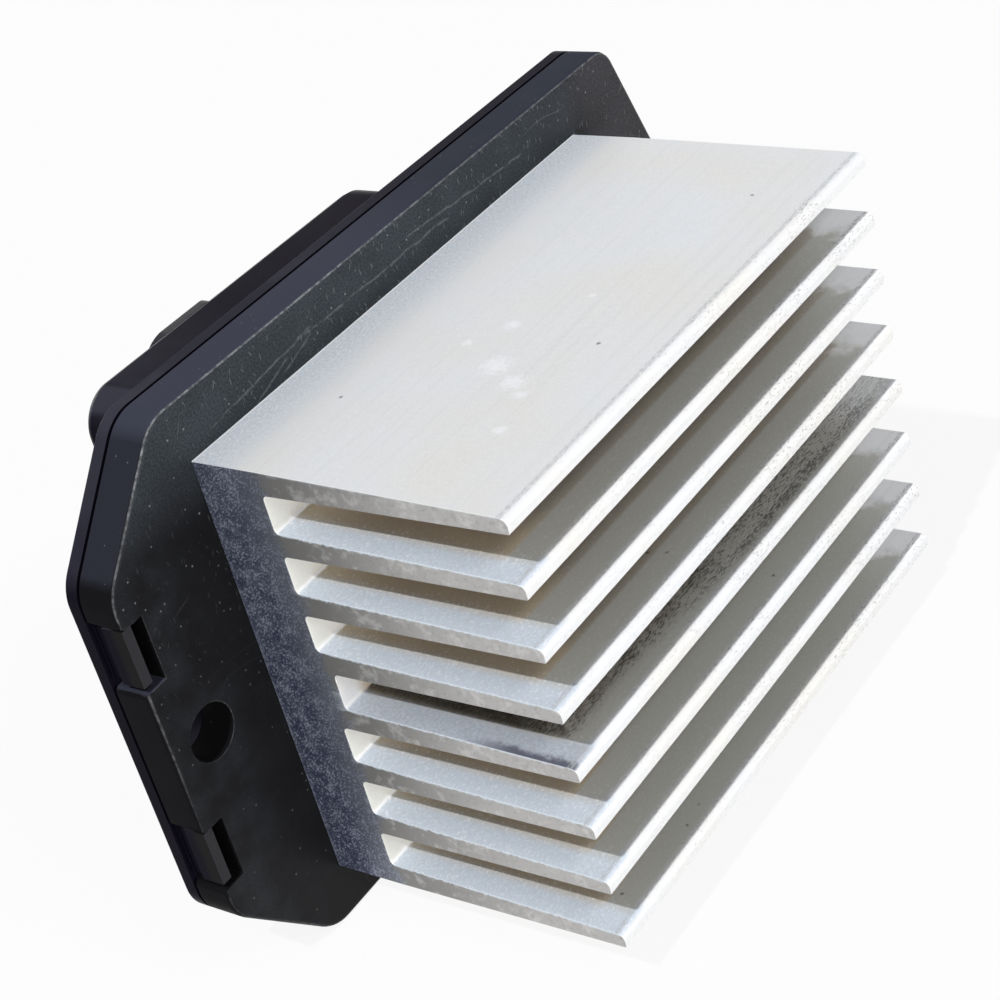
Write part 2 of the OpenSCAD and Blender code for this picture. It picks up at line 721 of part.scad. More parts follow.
module transistor_body() {
  edge = 0.6;
  color("#1c1c1e") translate([0, 0, -tr_w / 2]) linear_extrude(height = tr_w)
    polygon([[tr_x, tr_body_y], [tr_x + tr_body_l, tr_body_y],
      [tr_x + tr_body_l - edge, tr_body_y + tr_body_h], [tr_x + edge / 2, tr_body_y + tr_body_h],
      [tr_x, lead_y + lead_t]]);
}
module transistor_tab() {
  corner = 1.2;
  color("silver") slab(tab_y, tab_y + tr_tab_t) difference() {
    polygon([[tr_x, -tr_w / 2], [tr_tab_end - corner, -tr_w / 2], [tr_tab_end, corner - tr_w / 2],
      [tr_tab_end, tr_w / 2 - corner], [tr_tab_end - corner, tr_w / 2], [tr_x, tr_w / 2]]);
    translate([tr_hole_x, 0]) circle(tab_hole_r);
  }
}
module transistor_leads() {
  color("silver")
    for (i = [-1:1])
      translate([0, 0, i * lead_pitch - lead_w / 2]) linear_extrude(height = lead_w)
        polygon([[tr_x, lead_y], [tr_x, lead_y + lead_t], [lead_x + lead_t / 2, lead_y + lead_t],
          [lead_x + lead_t / 2, lead_top_y], [lead_x - lead_t / 2, lead_top_y],
          [lead_x - lead_t / 2, lead_y]]);
}
module insulator_pad() {
  edge = 0.8;
  color("lightblue") slab(0, pad_t) difference() {
    translate([tr_x - edge, -tr_w / 2 - edge]) square([tr_tab_end - tr_x + 2 * edge, tr_w + 2 * edge]);
    translate([tr_hole_x, 0]) circle(screw_d / 2 + pass);
  }
}
module insulator_bush() {
  color("ivory") difference() {
    union() {
      rod_y(tr_hole_x, 0, head_d / 2, bush_y, bush_y + bush_t);
      rod_y(tr_hole_x, 0, bush_r, tab_y + fit, bush_y + bush_t);
    }
    rod_y(tr_hole_x, 0, screw_d / 2 + pass, tab_y - over, bush_y + bush_t + over);
  }
}
module transistor_washer() {
  color("silver") slab(washer_y, washer_y + washer_t) translate([tr_hole_x, 0]) difference() {
    circle(d = head_d);
    circle(screw_d / 2 + pass);
  }
}
module transistor_screw() {
  color("silver") screw(tr_hole_x, 0, screw_d, tr_head_y + screw_grip, head_d, head_h, tr_head_y);
}

module capacitor_can() {
  groove_r = 0.5;
  groove_d = 0.25;
  groove_in = 2.2;
  color("#20242e") translate([cap_x, cap_y, cap_z]) rotate([0, 90, 0]) difference() {
    cylinder(d = cap_d, h = cap_l);
    translate([0, 0, cap_l - groove_in])
      rotate_extrude() translate([cap_d / 2 + groove_r - groove_d, 0]) circle(groove_r);
  }
}
module capacitor_bung() {
  crimp = 0.8;
  color("#3a3a3a") translate([cap_end_x, cap_y, cap_z]) rotate([0, 90, 0])
    cylinder(d = cap_d - 2 * crimp, h = bung_t);
}
module capacitor_leads() {
  color("silver")
    for (i = [-1, 1])
      translate([0, 0, cap_z + i * cap_pitch / 2])
        wire([[cap_end_x + bung_t, cap_y, 0], [cap_lead_x, cap_y, 0], [cap_lead_x, tail_y, 0]],
          cap_lead_d, cap_bend_r);
}

module fuse_body() {
  nose = 1;
  color("tan") translate([fuse_x, fuse_y, fuse_z]) rotate([0, 90, 0]) {
    cylinder(d = fuse_d, h = fuse_l - nose);
    translate([0, 0, fuse_l - nose]) cylinder(d1 = fuse_d, d2 = fuse_d / 2, h = nose);
  }
}
module fuse_leads() {
  color("silver") {
    wire([[fuse_x, fuse_y, fuse_z], [lead_x, fuse_y, fuse_z], [lead_x, lead_top_y, fuse_z]],
      fuse_wire_d, fuse_bend_r);
    wire([[fuse_x + fuse_l, fuse_y, fuse_z], [fuse_loop_x, fuse_y, fuse_z],
      [fuse_loop_x, fuse_y, fuse_z + fuse_pitch], [lead_x, fuse_y, fuse_z + fuse_pitch],
      [lead_x, lead_top_y, fuse_z + fuse_pitch]], fuse_wire_d, fuse_bend_r);
  }
}

module shunt_resistor() {
  color("#8a7a66") translate([shunt_at[0], 0, shunt_at[1]]) {
    for (end = [-1, 1]) {
      x = end * (shunt_l - shunt_t) / 2;
      block([x - shunt_t / 2, tail_y, -shunt_foot / 2],
        [x + shunt_t / 2, board_rear_y + shunt_t, shunt_foot / 2]);
      block([x - shunt_t / 2, board_rear_y, -shunt_w / 2],
        [x + shunt_t / 2, board_rear_y + shunt_h, shunt_w / 2]);
    }
    block([-shunt_l / 2, board_rear_y + shunt_h - shunt_t, -shunt_w / 2],
      [shunt_l / 2, board_rear_y + shunt_h, shunt_w / 2]);
  }
}

module control_chip() {
  color("#1c1c1e")
    block([chip_at[0] - chip_l / 2, board_rear_y + chip_lift, chip_at[1] - chip_w / 2],
      [chip_at[0] + chip_l / 2, board_rear_y + chip_lift + chip_h, chip_at[1] + chip_w / 2]);
}
// One gull-wing leg in Z and Y, from the body's side down to the board
module gull_leg(side_y, foot_l) {
  t = 0.2;
  drop = foot_l / 2;
  polygon([[0, side_y], [0, side_y + t], [drop, side_y + t], [drop, t], [foot_l, t], [foot_l, 0],
    [drop - t, 0], [drop - t, side_y]]);
}
module chip_legs() {
  leg_w = 0.4;
  foot_l = 1.1;
  per_side = 4;
  color("silver")
    for (i = [0:per_side - 1], up = [-1, 1])
      translate(
        [chip_at[0] + (i - (per_side - 1) / 2) * chip_pitch, board_rear_y, chip_at[1] + up * chip_w / 2]
      )
        mirror([0, 0, up < 0 ? 1 : 0]) rotate([0, -90, 0]) translate([0, 0, -leg_w / 2])
          linear_extrude(height = leg_w) gull_leg(chip_lift + chip_h / 2, foot_l);
}
module clamp_diode() {
  color("#1c1c1e")
    block([diode_at[0] - diode_l / 2, board_rear_y + chip_lift, diode_at[1] - diode_w / 2],
      [diode_at[0] + diode_l / 2, board_rear_y + diode_h, diode_at[1] + diode_w / 2]);
}
module diode_legs() {
  leg_w = 2;
  foot_l = 1;
  color("silver")
    for (end = [-1, 1])
      translate([diode_at[0] + end * diode_l / 2, board_rear_y, diode_at[1]])
        mirror([end < 0 ? 1 : 0, 0, 0]) translate([0, 0, -leg_w / 2])
          linear_extrude(height = leg_w) gull_leg(diode_h / 2, foot_l);
}
module small_row(at, count, h) {
  for (i = [0:count - 1])
    block([at[0] + i * small_pitch - small_w / 2, board_rear_y, at[1] - small_l / 2],
      [at[0] + i * small_pitch + small_w / 2, board_rear_y + h, at[1] + small_l / 2]);
}
module chip_resistors() { color("#222222") small_row(resistor_at, resistor_count, resistor_h); }
module chip_capacitors() { color("tan") small_row(capacitor_at, capacitor_count, capacitor_h); }

heat_sink();
housing();
rear_cover();
circuit_board();
board_screws();
sink_screws();
transistor_body();
transistor_tab();
transistor_leads();
insulator_pad();
insulator_bush();
transistor_washer();
transistor_screw();
terminal(power_at[0], power_z, power_w, power_t);  // power_terminal_1
terminal(power_at[1], power_z, power_w, power_t);  // power_terminal_2
terminal(signal_at[0], signal_z, signal_w, signal_t);  // signal_terminal_1
terminal(signal_at[1], signal_z, signal_w, signal_t);  // signal_terminal_2
capacitor_can();
capacitor_bung();
capacitor_leads();
fuse_body();
fuse_leads();
shunt_resistor();
control_chip();
chip_legs();
clamp_diode();
diode_legs();
chip_resistors();
chip_capacitors();
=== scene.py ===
# Blower motor resistor: finishes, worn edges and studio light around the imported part
import json
import math

import bmesh
import bpy
from mathutils import Matrix, Vector


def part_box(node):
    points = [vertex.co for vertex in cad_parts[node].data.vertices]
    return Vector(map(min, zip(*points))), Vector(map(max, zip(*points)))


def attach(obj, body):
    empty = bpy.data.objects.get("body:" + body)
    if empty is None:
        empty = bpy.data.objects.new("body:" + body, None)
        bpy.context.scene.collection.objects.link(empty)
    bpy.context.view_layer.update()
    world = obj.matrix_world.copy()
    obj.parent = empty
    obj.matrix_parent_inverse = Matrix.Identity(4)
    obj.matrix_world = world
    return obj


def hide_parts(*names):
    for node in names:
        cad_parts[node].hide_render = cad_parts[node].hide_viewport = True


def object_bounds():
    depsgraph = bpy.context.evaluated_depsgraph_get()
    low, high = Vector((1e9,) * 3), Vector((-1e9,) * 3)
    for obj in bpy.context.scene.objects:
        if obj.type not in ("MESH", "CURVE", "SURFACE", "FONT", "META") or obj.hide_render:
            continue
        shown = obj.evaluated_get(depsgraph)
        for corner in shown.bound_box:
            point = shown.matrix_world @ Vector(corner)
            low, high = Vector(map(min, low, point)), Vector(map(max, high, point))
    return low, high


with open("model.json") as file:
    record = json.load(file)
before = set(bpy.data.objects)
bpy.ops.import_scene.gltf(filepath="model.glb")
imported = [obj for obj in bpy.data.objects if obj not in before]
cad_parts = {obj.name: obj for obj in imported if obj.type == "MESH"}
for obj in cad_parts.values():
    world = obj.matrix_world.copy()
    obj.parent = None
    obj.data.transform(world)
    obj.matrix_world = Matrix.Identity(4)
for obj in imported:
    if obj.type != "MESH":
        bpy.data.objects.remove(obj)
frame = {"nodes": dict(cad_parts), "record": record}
cad_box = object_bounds()

MM = 0.001

# Camera at the photograph's viewing angle
CAMERA_AT = Vector((-138.525, -130.236, 111.945)) * MM
CAMERA_AIM = Vector((0.58, -3.39, -1.90)) * MM
CAMERA_ROLL = math.radians(-15.84)
CAMERA_LENS = 80.08
CAMERA_NEAREST = 1.0 * MM

# Light: a high sun over the near end, low and high lamps in front, a level lamp behind and a pale sky
SUN_FROM = Vector((-0.65, -0.10, 1.0))
SUN_POWER = 2.04
SUN_ANGLE = math.radians(1.2)
SUN_COLOUR = (0.97, 0.985, 1.0)
LOW_LAMP_AT = Vector((-90.0, -600.0, 15.0)) * MM
LOW_LAMP_SIZE = (220.0 * MM, 80.0 * MM)
LOW_LAMP_POWER = 1.65
HIGH_LAMP_AT = Vector((-100.0, -420.0, 430.0)) * MM
HIGH_LAMP_SIZE = (220.0 * MM, 110.0 * MM)
HIGH_LAMP_POWER = 0.86
REAR_LAMP_AT = Vector((60.0, 600.0, 5.0)) * MM
REAR_LAMP_SIZE = (320.0 * MM, 160.0 * MM)
REAR_LAMP_POWER = 1.2
LAMP_COLOUR = (1.0, 0.985, 0.96)
SKY_COLOUR = (0.92, 0.95, 1.0, 1.0)
SKY_POWER = 0.25
WHITE = (1.0, 1.0, 1.0, 1.0)
FLOOR_COLOUR = (0.82, 0.82, 0.81, 1.0)
FLOOR_HALF = 2.0
FLOOR_GLOW = 0.9

# Mesh finish
WELD = 0.002 * MM
FLAT_ANGLE = math.radians(0.5)
CREASE_ANGLE = math.radians(50)
SAWN_EDGE = 0.10 * MM
PLASTIC_EDGE = 0.10 * MM
BLADE_EDGE = 0.10 * MM
SHORTEST_EDGE = 0.40 * MM
EDGE_STEPS = 2
# How far a face leans towards a side to take that side's finish
LEANS = 0.5
LEANS_BACK = 0.75

# Fins, as the part's source makes them
FIN_COUNT = 8
FIN_ROOT = 2.4 * MM
FIN_DROP = 0.45
STAINED_FIN = 4

sink_low, sink_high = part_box("heat_sink")
_, plate_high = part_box("housing")
_, cover_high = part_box("rear_cover")

# Back of the cover's body, where the connector begins
SHROUD_DEPTH = 9.5 * MM
BODY_BACK = cover_high.y - SHROUD_DEPTH

# Places in millimetres, for the marks
PITCH = (sink_high.z - sink_low.z - FIN_ROOT) / (FIN_COUNT - 1) / MM
NEAR_END = sink_low.x / MM
FAR_END = sink_high.x / MM
TIP = sink_low.y / MM
TOP = sink_high.z / MM
TOP_MIDDLE = TOP - FIN_ROOT / 2 / MM
STAINED_TOP = TOP - STAINED_FIN * PITCH
BASE_FRONT = -7.2
FIN_SLOPE = FIN_DROP / (BASE_FRONT - TIP)
PLATE_BACK = plate_high.y / MM

# Aluminium colours, painted light and shade among them
MILL_COOL = (0.755, 0.765, 0.785, 1.0)
MILL_WARM = (0.760, 0.750, 0.730, 1.0)
MILL_DULL = (0.50, 0.51, 0.53, 1.0)
# Pale grains of the mill finish, and painted highlights and light
MILL_PALE_AND_HIGHLIGHT = (0.90, 0.91, 0.93, 1.0)
# Painted reflection of the dark plate on the top fin next to it
JOINT_REFLECTION_BLUE = (0.63, 0.68, 0.735, 1.0)
# Painted tint where the sun lights the near ends of the lower fins
SUNLIT_STRIP_BLUE = (0.60, 0.665, 0.75, 1.0)
# Painted shade in the channels between the fins: olive, brown deeper in and higher up, tan near the near end
CHANNEL_SHADE_OLIVE = (0.53, 0.53, 0.50, 1.0)
CHANNEL_SHADE_TAN = (0.56, 0.47, 0.35, 1.0)
CHANNEL_SHADE_BROWN = (0.41, 0.375, 0.315, 1.0)
# Painted light on the channel floors between the fins
LIT_FLOOR_WARM = (0.79, 0.78, 0.735, 1.0)
SCUFF_PALE = (0.92, 0.93, 0.96, 1.0)
PIT_DARK = (0.09, 0.085, 0.08, 1.0)
DASH_GREY = (0.20, 0.20, 0.205, 1.0)
STAIN_GREY = (0.47, 0.46, 0.435, 1.0)
STAIN_BLUE = (0.42, 0.455, 0.51, 1.0)
STAIN_BROWN = (0.19, 0.165, 0.135, 1.0)
STAIN_BLACK = (0.035, 0.034, 0.030, 1.0)
SMEAR_DARK = (0.085, 0.09, 0.125, 1.0)
SAWN_DARK = (0.050, 0.058, 0.106, 1.0)
SAWN_GREY = (0.122, 0.134, 0.186, 1.0)
SAWN_SMOOTH = (0.150, 0.160, 0.192, 1.0)
SAWN_FLECK = (0.38, 0.42, 0.52, 1.0)
CUT_DULL = (0.22, 0.215, 0.207, 1.0)
CUT_PALE = (0.46, 0.45, 0.44, 1.0)
BURR_PALE = (0.60, 0.64, 0.69, 1.0)

# Plastic colours, painted sheen, shade and highlights among them
HOUSING_BLACK = (0.0075, 0.0074, 0.0085, 1.0)
COVER_BLACK = (0.0072, 0.0058, 0.0112, 1.0)
# Haze on the front with a painted sheen, brighter high up and at the far end
FRONT_HAZE_AND_SHEEN = (0.043, 0.051, 0.059, 1.0)
FAR_HAZE_AND_SHEEN = (0.052, 0.049, 0.056, 1.0)
# Dust on the upward walls with a painted sky sheen, bluer and darker further along
DUST_AND_SKY_SHEEN = (0.047, 0.050, 0.072, 1.0)
FAR_DUST_AND_SKY_SHEEN = (0.033, 0.037, 0.051, 1.0)
# Dust on the cover with a painted sheen, also used for its painted corner highlight
RIM_DUST_AND_SHEEN = (0.042, 0.042, 0.058, 1.0)
ARM_BLACK = (0.0125, 0.0120, 0.0125, 1.0)
ARM_END_GREY = (0.031, 0.030, 0.034, 1.0)
BACK_HAZE = (0.024, 0.023, 0.028, 1.0)
HAIRLINE = (0.140, 0.150, 0.156, 1.0)
LONG_SCRATCH = (0.125, 0.135, 0.138, 1.0)
DUST_SPECK = (0.28, 0.29, 0.30, 1.0)
# Pale of worn edges, with a painted highlight
RUBBED_AND_HIGHLIT_PALE = (0.24, 0.245, 0.26, 1.0)

# Specular level and metallic share of the finishes
MILL_SHINE = 0.3
FRONT_SHINE = 0.06
WALL_SHINE = 0.01
COVER_SHINE = 0.01
BACK_SHINE = 0.2
MILL_METAL = 0.1
SAWN_METAL = 0.5
# Roughness of the finishes, at their smoothest and at their roughest
MILL_ROUGH = (0.36, 0.50)
SAWN_ROUGH = (0.34, 0.50)
PLATE_ROUGH = (0.36, 0.46)
COVER_ROUGH = (0.24, 0.34)
BACK_ROUGH = (0.34, 0.44)
INNER_ROUGH_STEP = 0.12
# Depth of their relief in millimetres
MILL_RELIEF = 0.006
SAWN_RELIEF = 0.03
PLATE_RELIEF = 0.008
COVER_RELIEF = 0.004
BACK_RELIEF = 0.006
INNER_RELIEF = 0.006

# Levels between which most of a noise lies, and nearly all of it
MOST_NOISE = (0.35, 0.65)
WIDE_NOISE = (0.3, 0.7)

# Scuffs on the top fin: place along it, place across it, reach
SCUFFS = ((-12.0, -18.7, 2.0), (-14.0, -21.8, 1.6), (-15.6, -23.6, 0.9), (-5.6, -16.2, 1.0),
          (-9.2, -13.7, 0.7), (0.6, -20.7, 0.5), (-20.8, -25.0, 0.8))
SCUFF_SHARE = 0.55
# Pits: fin, place along it, place across it
PITS = ((0, -19.8, -7.4), (0, 20.5, -26.2), (0, -6.7, -25.9), (3, -10.4, -28.6), (3, -9.9, -30.3),
        (5, 4.4, -30.9), (7, -27.4, -30.1), (7, -17.5, -31.2), (7, -14.7, -30.8))
PIT_REACH = 0.27
PIT_SHARE = 0.75
# Torn flecks on the sawn base: turn of the saw's marks, and flecks in each millimetre along and across them
SAW_TURN = math.radians(45)
FLECKS_ALONG = 3.0
FLECKS_ACROSS = 5.5
# Long scratches on the plate above the heat sink: from x, z to x, z
LONG_SCRATCHES = ((-28.5, 24.4, -13.5, 25.9), (-14.5, 25.6, 8.0, 25.3), (-22.4, 23.3, -17.6, 24.9),
                  (-19.0, 23.6, -14.4, 25.2), (2.0, 26.6, 21.0, 25.4))
SCRATCH_WIDTH = 0.15
# Where a long scratch is full, in from its ends, and how far beyond that it fades
SCRATCH_END = 0.5
SCRATCH_FADE = 1.0
# How far it wavers over a long and over a short way, and about half of both together
LONG_WAVER = 0.8
SHORT_WAVER = 0.22
HALF_WAVER = 0.5


class Net:
    """A node tree with short ways to add nodes and to join them."""

    def __init__(self, tree):
        self.tree = tree

    def add(self, kind, **settings):
        node = self.tree.nodes.new(kind)
        for name, value in settings.items():
            setattr(node, name, value)
        return node

    def feed(self, socket, value):
        if isinstance(value, bpy.types.NodeSocket):
            self.tree.links.new(value, socket)
        else:
            socket.default_value = value

    def math(self, operation, *values):
        node = self.add("ShaderNodeMath", operation=operation)
        for socket, value in zip(node.inputs, values):
            self.feed(socket, value)
        return node.outputs[0]

    def times(self, *values):
        product = values[0]
        for value in values[1:]:
            product = self.math("MULTIPLY", product, value)
        return product

    def span(self, value, low, high, bottom=0.0, top=1.0):
        """Smooth step of a value from bottom at low to top at high."""
        node = self.add("ShaderNodeMapRange", interpolation_type="SMOOTHSTEP")
        for socket, number in zip(node.inputs, (value, low, high, bottom, top)):
            self.feed(socket, number)
        return node.outputs[0]

    def band(self, value, low, high, soft):
        """1 from low to high, falling to 0 over a soft margin outside."""
        return self.times(self.span(value, low - soft, low), self.span(value, high + soft, high))

    def place(self, scale=(1.0, 1.0, 1.0)):
        """Object coordinates in millimetres, stretched."""
        spot = self.add("ShaderNodeTexCoord").outputs["Object"]
        return self.mapped(spot, [part / MM for part in scale])

    def facing(self):
        """X, Y and Z of the surface's own direction."""
        return self.axes(self.add("ShaderNodeTexCoord").outputs["Normal"])

    def mapped(self, spot, scale, turn=(0.0, 0.0, 0.0)):
        node = self.add("ShaderNodeMapping")
        self.feed(node.inputs["Vector"], spot)
        self.feed(node.inputs["Scale"], scale)
        self.feed(node.inputs["Rotation"], turn)
        return node.outputs[0]

    def axes(self, spot):
        node = self.add("ShaderNodeSeparateXYZ")
        self.feed(node.inputs[0], spot)
        return node.outputs

    def joined(self, x=0.0, y=0.0, z=0.0):
        node = self.add("ShaderNodeCombineXYZ")
        for socket, value in zip(node.inputs, (x, y, z)):
            self.feed(socket, value)
        return node.outputs[0]

    def noise(self, spot, scale, detail=3.0, rough=0.5):
        node = self.add("ShaderNodeTexNoise")
        for label, value in (("Vector", spot), ("Scale", scale), ("Detail", detail), ("Roughness", rough)):
            self.feed(node.inputs[label], value)
        return node.outputs[0]

    def cells(self, spot, scale):
        node = self.add("ShaderNodeTexVoronoi")
        self.feed(node.inputs["Vector"], spot)
        self.feed(node.inputs["Scale"], scale)
        return node.outputs["Distance"], node.outputs["Color"]

    def along(self, spot, origin, direction):
        """How far a spot lies from an origin along a direction."""
        node = self.add("ShaderNodeVectorMath", operation="DOT_PRODUCT")
        self.feed(node.inputs[0], spot)
        self.feed(node.inputs[1], direction)
        return self.math("SUBTRACT", node.outputs["Value"], Vector(origin).dot(direction))

    def patch(self, spot, centre, reach, ragged):
        """Ragged patch round a point; ragged is a noise value round 0.5."""
        node = self.add("ShaderNodeVectorMath", operation="DISTANCE")
        self.feed(node.inputs[0], spot)
        self.feed(node.inputs[1], centre)
        widest = 2.0 * reach
        solid = 1.2 * reach
        apart = self.math("ADD", node.outputs["Value"], self.times(ragged, widest))
        return self.span(apart, widest, solid)

    def blend(self, share, first, second):
        node = self.add("ShaderNodeMix", data_type="RGBA")
        self.feed(node.inputs[0], share)
        self.feed(node.inputs[6], first)
        self.feed(node.inputs[7], second)
        return node.outputs[2]

    def use(self, effect, **values):
        """Places a shared effect and gives its output."""
        node = self.add("ShaderNodeGroup", node_tree=effect)
        for label, value in values.items():
            self.feed(node.inputs[label], value)
        return node.outputs[0]

    def bump(self, height, depth):
        """Normal of a relief whose height of 1 is depth millimetres."""
        node = self.add("ShaderNodeBump")
        node.inputs["Distance"].default_value = depth * MM
        self.feed(node.inputs["Height"], height)
        return node.outputs[0]


def effect(name, output, **inputs):
    """An empty shader node group with number inputs and one number output."""
    tree = bpy.data.node_groups.new(name, "ShaderNodeTree")
    for label, value in inputs.items():
        socket = tree.interface.new_socket(label, in_out="INPUT", socket_type="NodeSocketFloat")
        socket.default_value = value
    tree.interface.new_socket(output, in_out="OUTPUT", socket_type="NodeSocketFloat")
    net = Net(tree)
    return net, net.add("NodeGroupInput").outputs, net.add("NodeGroupOutput").inputs[0]


# Specks: least share of the size they are drawn at, and the part of a speck that is solid
LEAST_SPECK = 0.35
SOLID_SPECK = 0.5


def make_specks():
    """Separate specks: Spacing in millimetres, Size as a share of it, Share of the places that have one."""
    net, given, out = effect("Specks", "Mask", Spacing=1.0, Size=0.2, Share=0.5)
    distance, chance = net.cells(net.place(), net.math("DIVIDE", 1.0, given["Spacing"]))
    first, second, _ = net.axes(chance)
    reach = net.times(given["Size"], net.math("ADD", second, LEAST_SPECK))
    near = net.span(distance, reach, net.times(reach, SOLID_SPECK))
    net.feed(out, net.times(near, net.math("LESS_THAN", first, given["Share"])))
    return net.tree


# Hairlines: how often and how far in millimetres they sway, a line's share of its room, and its soft edge
SWAYS = 0.06
SWAY_REACH = 12.0
LINE_SHARE = 0.25
LINE_EDGE = (0.22, 0.05)


def make_scratches():
    """Hairline scratches in the plate's plane: Turn in radians, Length and Width in millimetres."""
    net, given, out = effect("Scratches", "Mask", Turn=0.0, Length=8.0, Width=0.3, Share=0.3, Bend=1.0)
    spot = net.place()
    drift = net.add("ShaderNodeTexNoise")
    net.feed(drift.inputs["Vector"], spot)
    drift.inputs["Scale"].default_value = SWAYS
    drift.inputs["Detail"].default_value = 1.0
    sway = net.add("ShaderNodeVectorMath", operation="SCALE")
    net.feed(sway.inputs[0], drift.outputs["Color"])
    net.feed(sway.inputs["Scale"], net.times(given["Bend"], SWAY_REACH))
    bent = net.add("ShaderNodeVectorMath", operation="ADD")
    net.feed(bent.inputs[0], spot)
    net.feed(bent.inputs[1], sway.outputs[0])
    turned = net.mapped(bent.outputs[0], (1.0, 1.0, 1.0), net.joined(y=given["Turn"]))
    along = net.math("DIVIDE", 1.0, given["Length"])
    across = net.math("DIVIDE", LINE_SHARE, given["Width"])
    distance, chance = net.cells(net.mapped(turned, net.joined(x=along, z=across)), 1.0)
    first, second, _ = net.axes(chance)
    near = net.span(distance, *LINE_EDGE)
    net.feed(out, net.times(near, net.math("LESS_THAN", first, given["Share"]), second))
    return net.tree


def make_streaks():
    """Noise drawn out along X: Length and Width of a streak in millimetres."""
    net, given, out = effect("Streaks", "Value", Length=1.0, Width=0.25)
    across = net.math("DIVIDE", 1.0, given["Width"])
    along = net.math("DIVIDE", 1.0, given["Length"])
    net.feed(out, net.noise(net.mapped(net.place(), net.joined(along, across, across)), 1.0, rough=0.55))
    return net.tree


def make_blotches():
    """Soft patches: Size in millimetres, and the noise levels where they begin and end."""
    net, given, out = effect("Blotches", "Mask", Size=10.0, Low=0.45, High=0.7)
    value = net.noise(net.place(), net.math("DIVIDE", 1.0, given["Size"]), rough=0.55)
    net.feed(out, net.span(value, given["Low"], given["High"]))
    return net.tree


def make_grain():
    """Fine grain: Size of a grain in millimetres."""
    net, given, out = effect("Grain", "Height", Size=0.25)
    net.feed(out, net.noise(net.place(), net.math("DIVIDE", 1.0, given["Size"]), rough=0.6))
    return net.tree


# How squarely the worn, painted-highlit part of a rounded edge looks to the front or back, with a soft margin
ROUNDED_EDGE = (0.65, 0.81, 0.09)


def make_edge_wear_and_highlight():
    """Worn edges with a painted highlight, where a front or back rounds over into a wall, broken up over Size
    millimetres.
    """
    net, given, out = effect("Edge wear", "Mask", Size=1.5, Low=0.35, High=0.6)
    lean = net.math("ABSOLUTE", net.facing()[1])
    rounded = net.band(lean, *ROUNDED_EDGE)
    broken = net.noise(net.place(), net.math("DIVIDE", 1.0, given["Size"]), detail=4.0, rough=0.65)
    net.feed(out, net.times(rounded, net.span(broken, given["Low"], given["High"], 0.25, 1.0)))
    return net.tree


SPECKS = make_specks()
SCRATCHES = make_scratches()
STREAKS = make_streaks()
BLOTCHES = make_blotches()
GRAIN = make_grain()
EDGE_WEAR_AND_HIGHLIGHT = make_edge_wear_and_highlight()


def new_material(name, metallic=0.0, specular=0.5):
    """A material with an empty tree but for its Principled shader."""
    material = bpy.data.materials.new(name)
    material.use_nodes = True
    net = Net(material.node_tree)
    shader = material.node_tree.nodes["Principled BSDF"]
    shader.inputs["Metallic"].default_value = metallic
    shader.inputs["Specular IOR Level"].default_value = specular
    return material, net, shader.inputs


# Shades of the extrusion, painted light and shade among them: where each begins and where it is full
UPPER_FACE = (0.6, 0.9)
ON_TOP_FIN = (TOP - 0.6, TOP - 0.3)
BELOW_TOP_FIN = (TOP - 0.9, TOP - 1.5)
JOINT = (-6.5, -1.5)
NEAR_STRIP = (NEAR_END + 4.6, NEAR_END + 3.0)
FAR_STRIP = (FAR_END - 4.5, FAR_END - 1.0)
PAST_TIPS = (TIP + 0.6, TIP + 1.2)
CHANNEL_DEPTH = (TIP + 3.4, TIP + 3.9)
UPPER_CHANNELS = (STAINED_TOP - 2.0, STAINED_TOP + 4.0)
TAN_PART = (NEAR_END + 11.0, NEAR_END + 5.0)
CHANNEL_FLOOR = (BASE_FRONT - 0.4, BASE_FRONT - 0.1)
FLOOR_FILLET = (BASE_FRONT - 0.9, BASE_FRONT - 0.5)
BACK_EDGE = (-0.30, -0.12)
TOP_EDGE = (TOP - 0.2, TOP - 0.1)
# Length of the channels' painted shade and tilt of their fillets' painted highlight, each with a soft margin
CHANNEL_LENGTH = (NEAR_END + 3.6, FAR_END - 5.0, 1.8)
FILLET_TILT = (0.55, 0.80, 0.08)
# How far the edge of the painted light on the far strip wavers, and the strength of the speckle all over and
# at the joint
FAR_STRIP_WAVER = 3.0
SPECKLE = 0.45
SPECKLE_AT_JOINT = 1.7


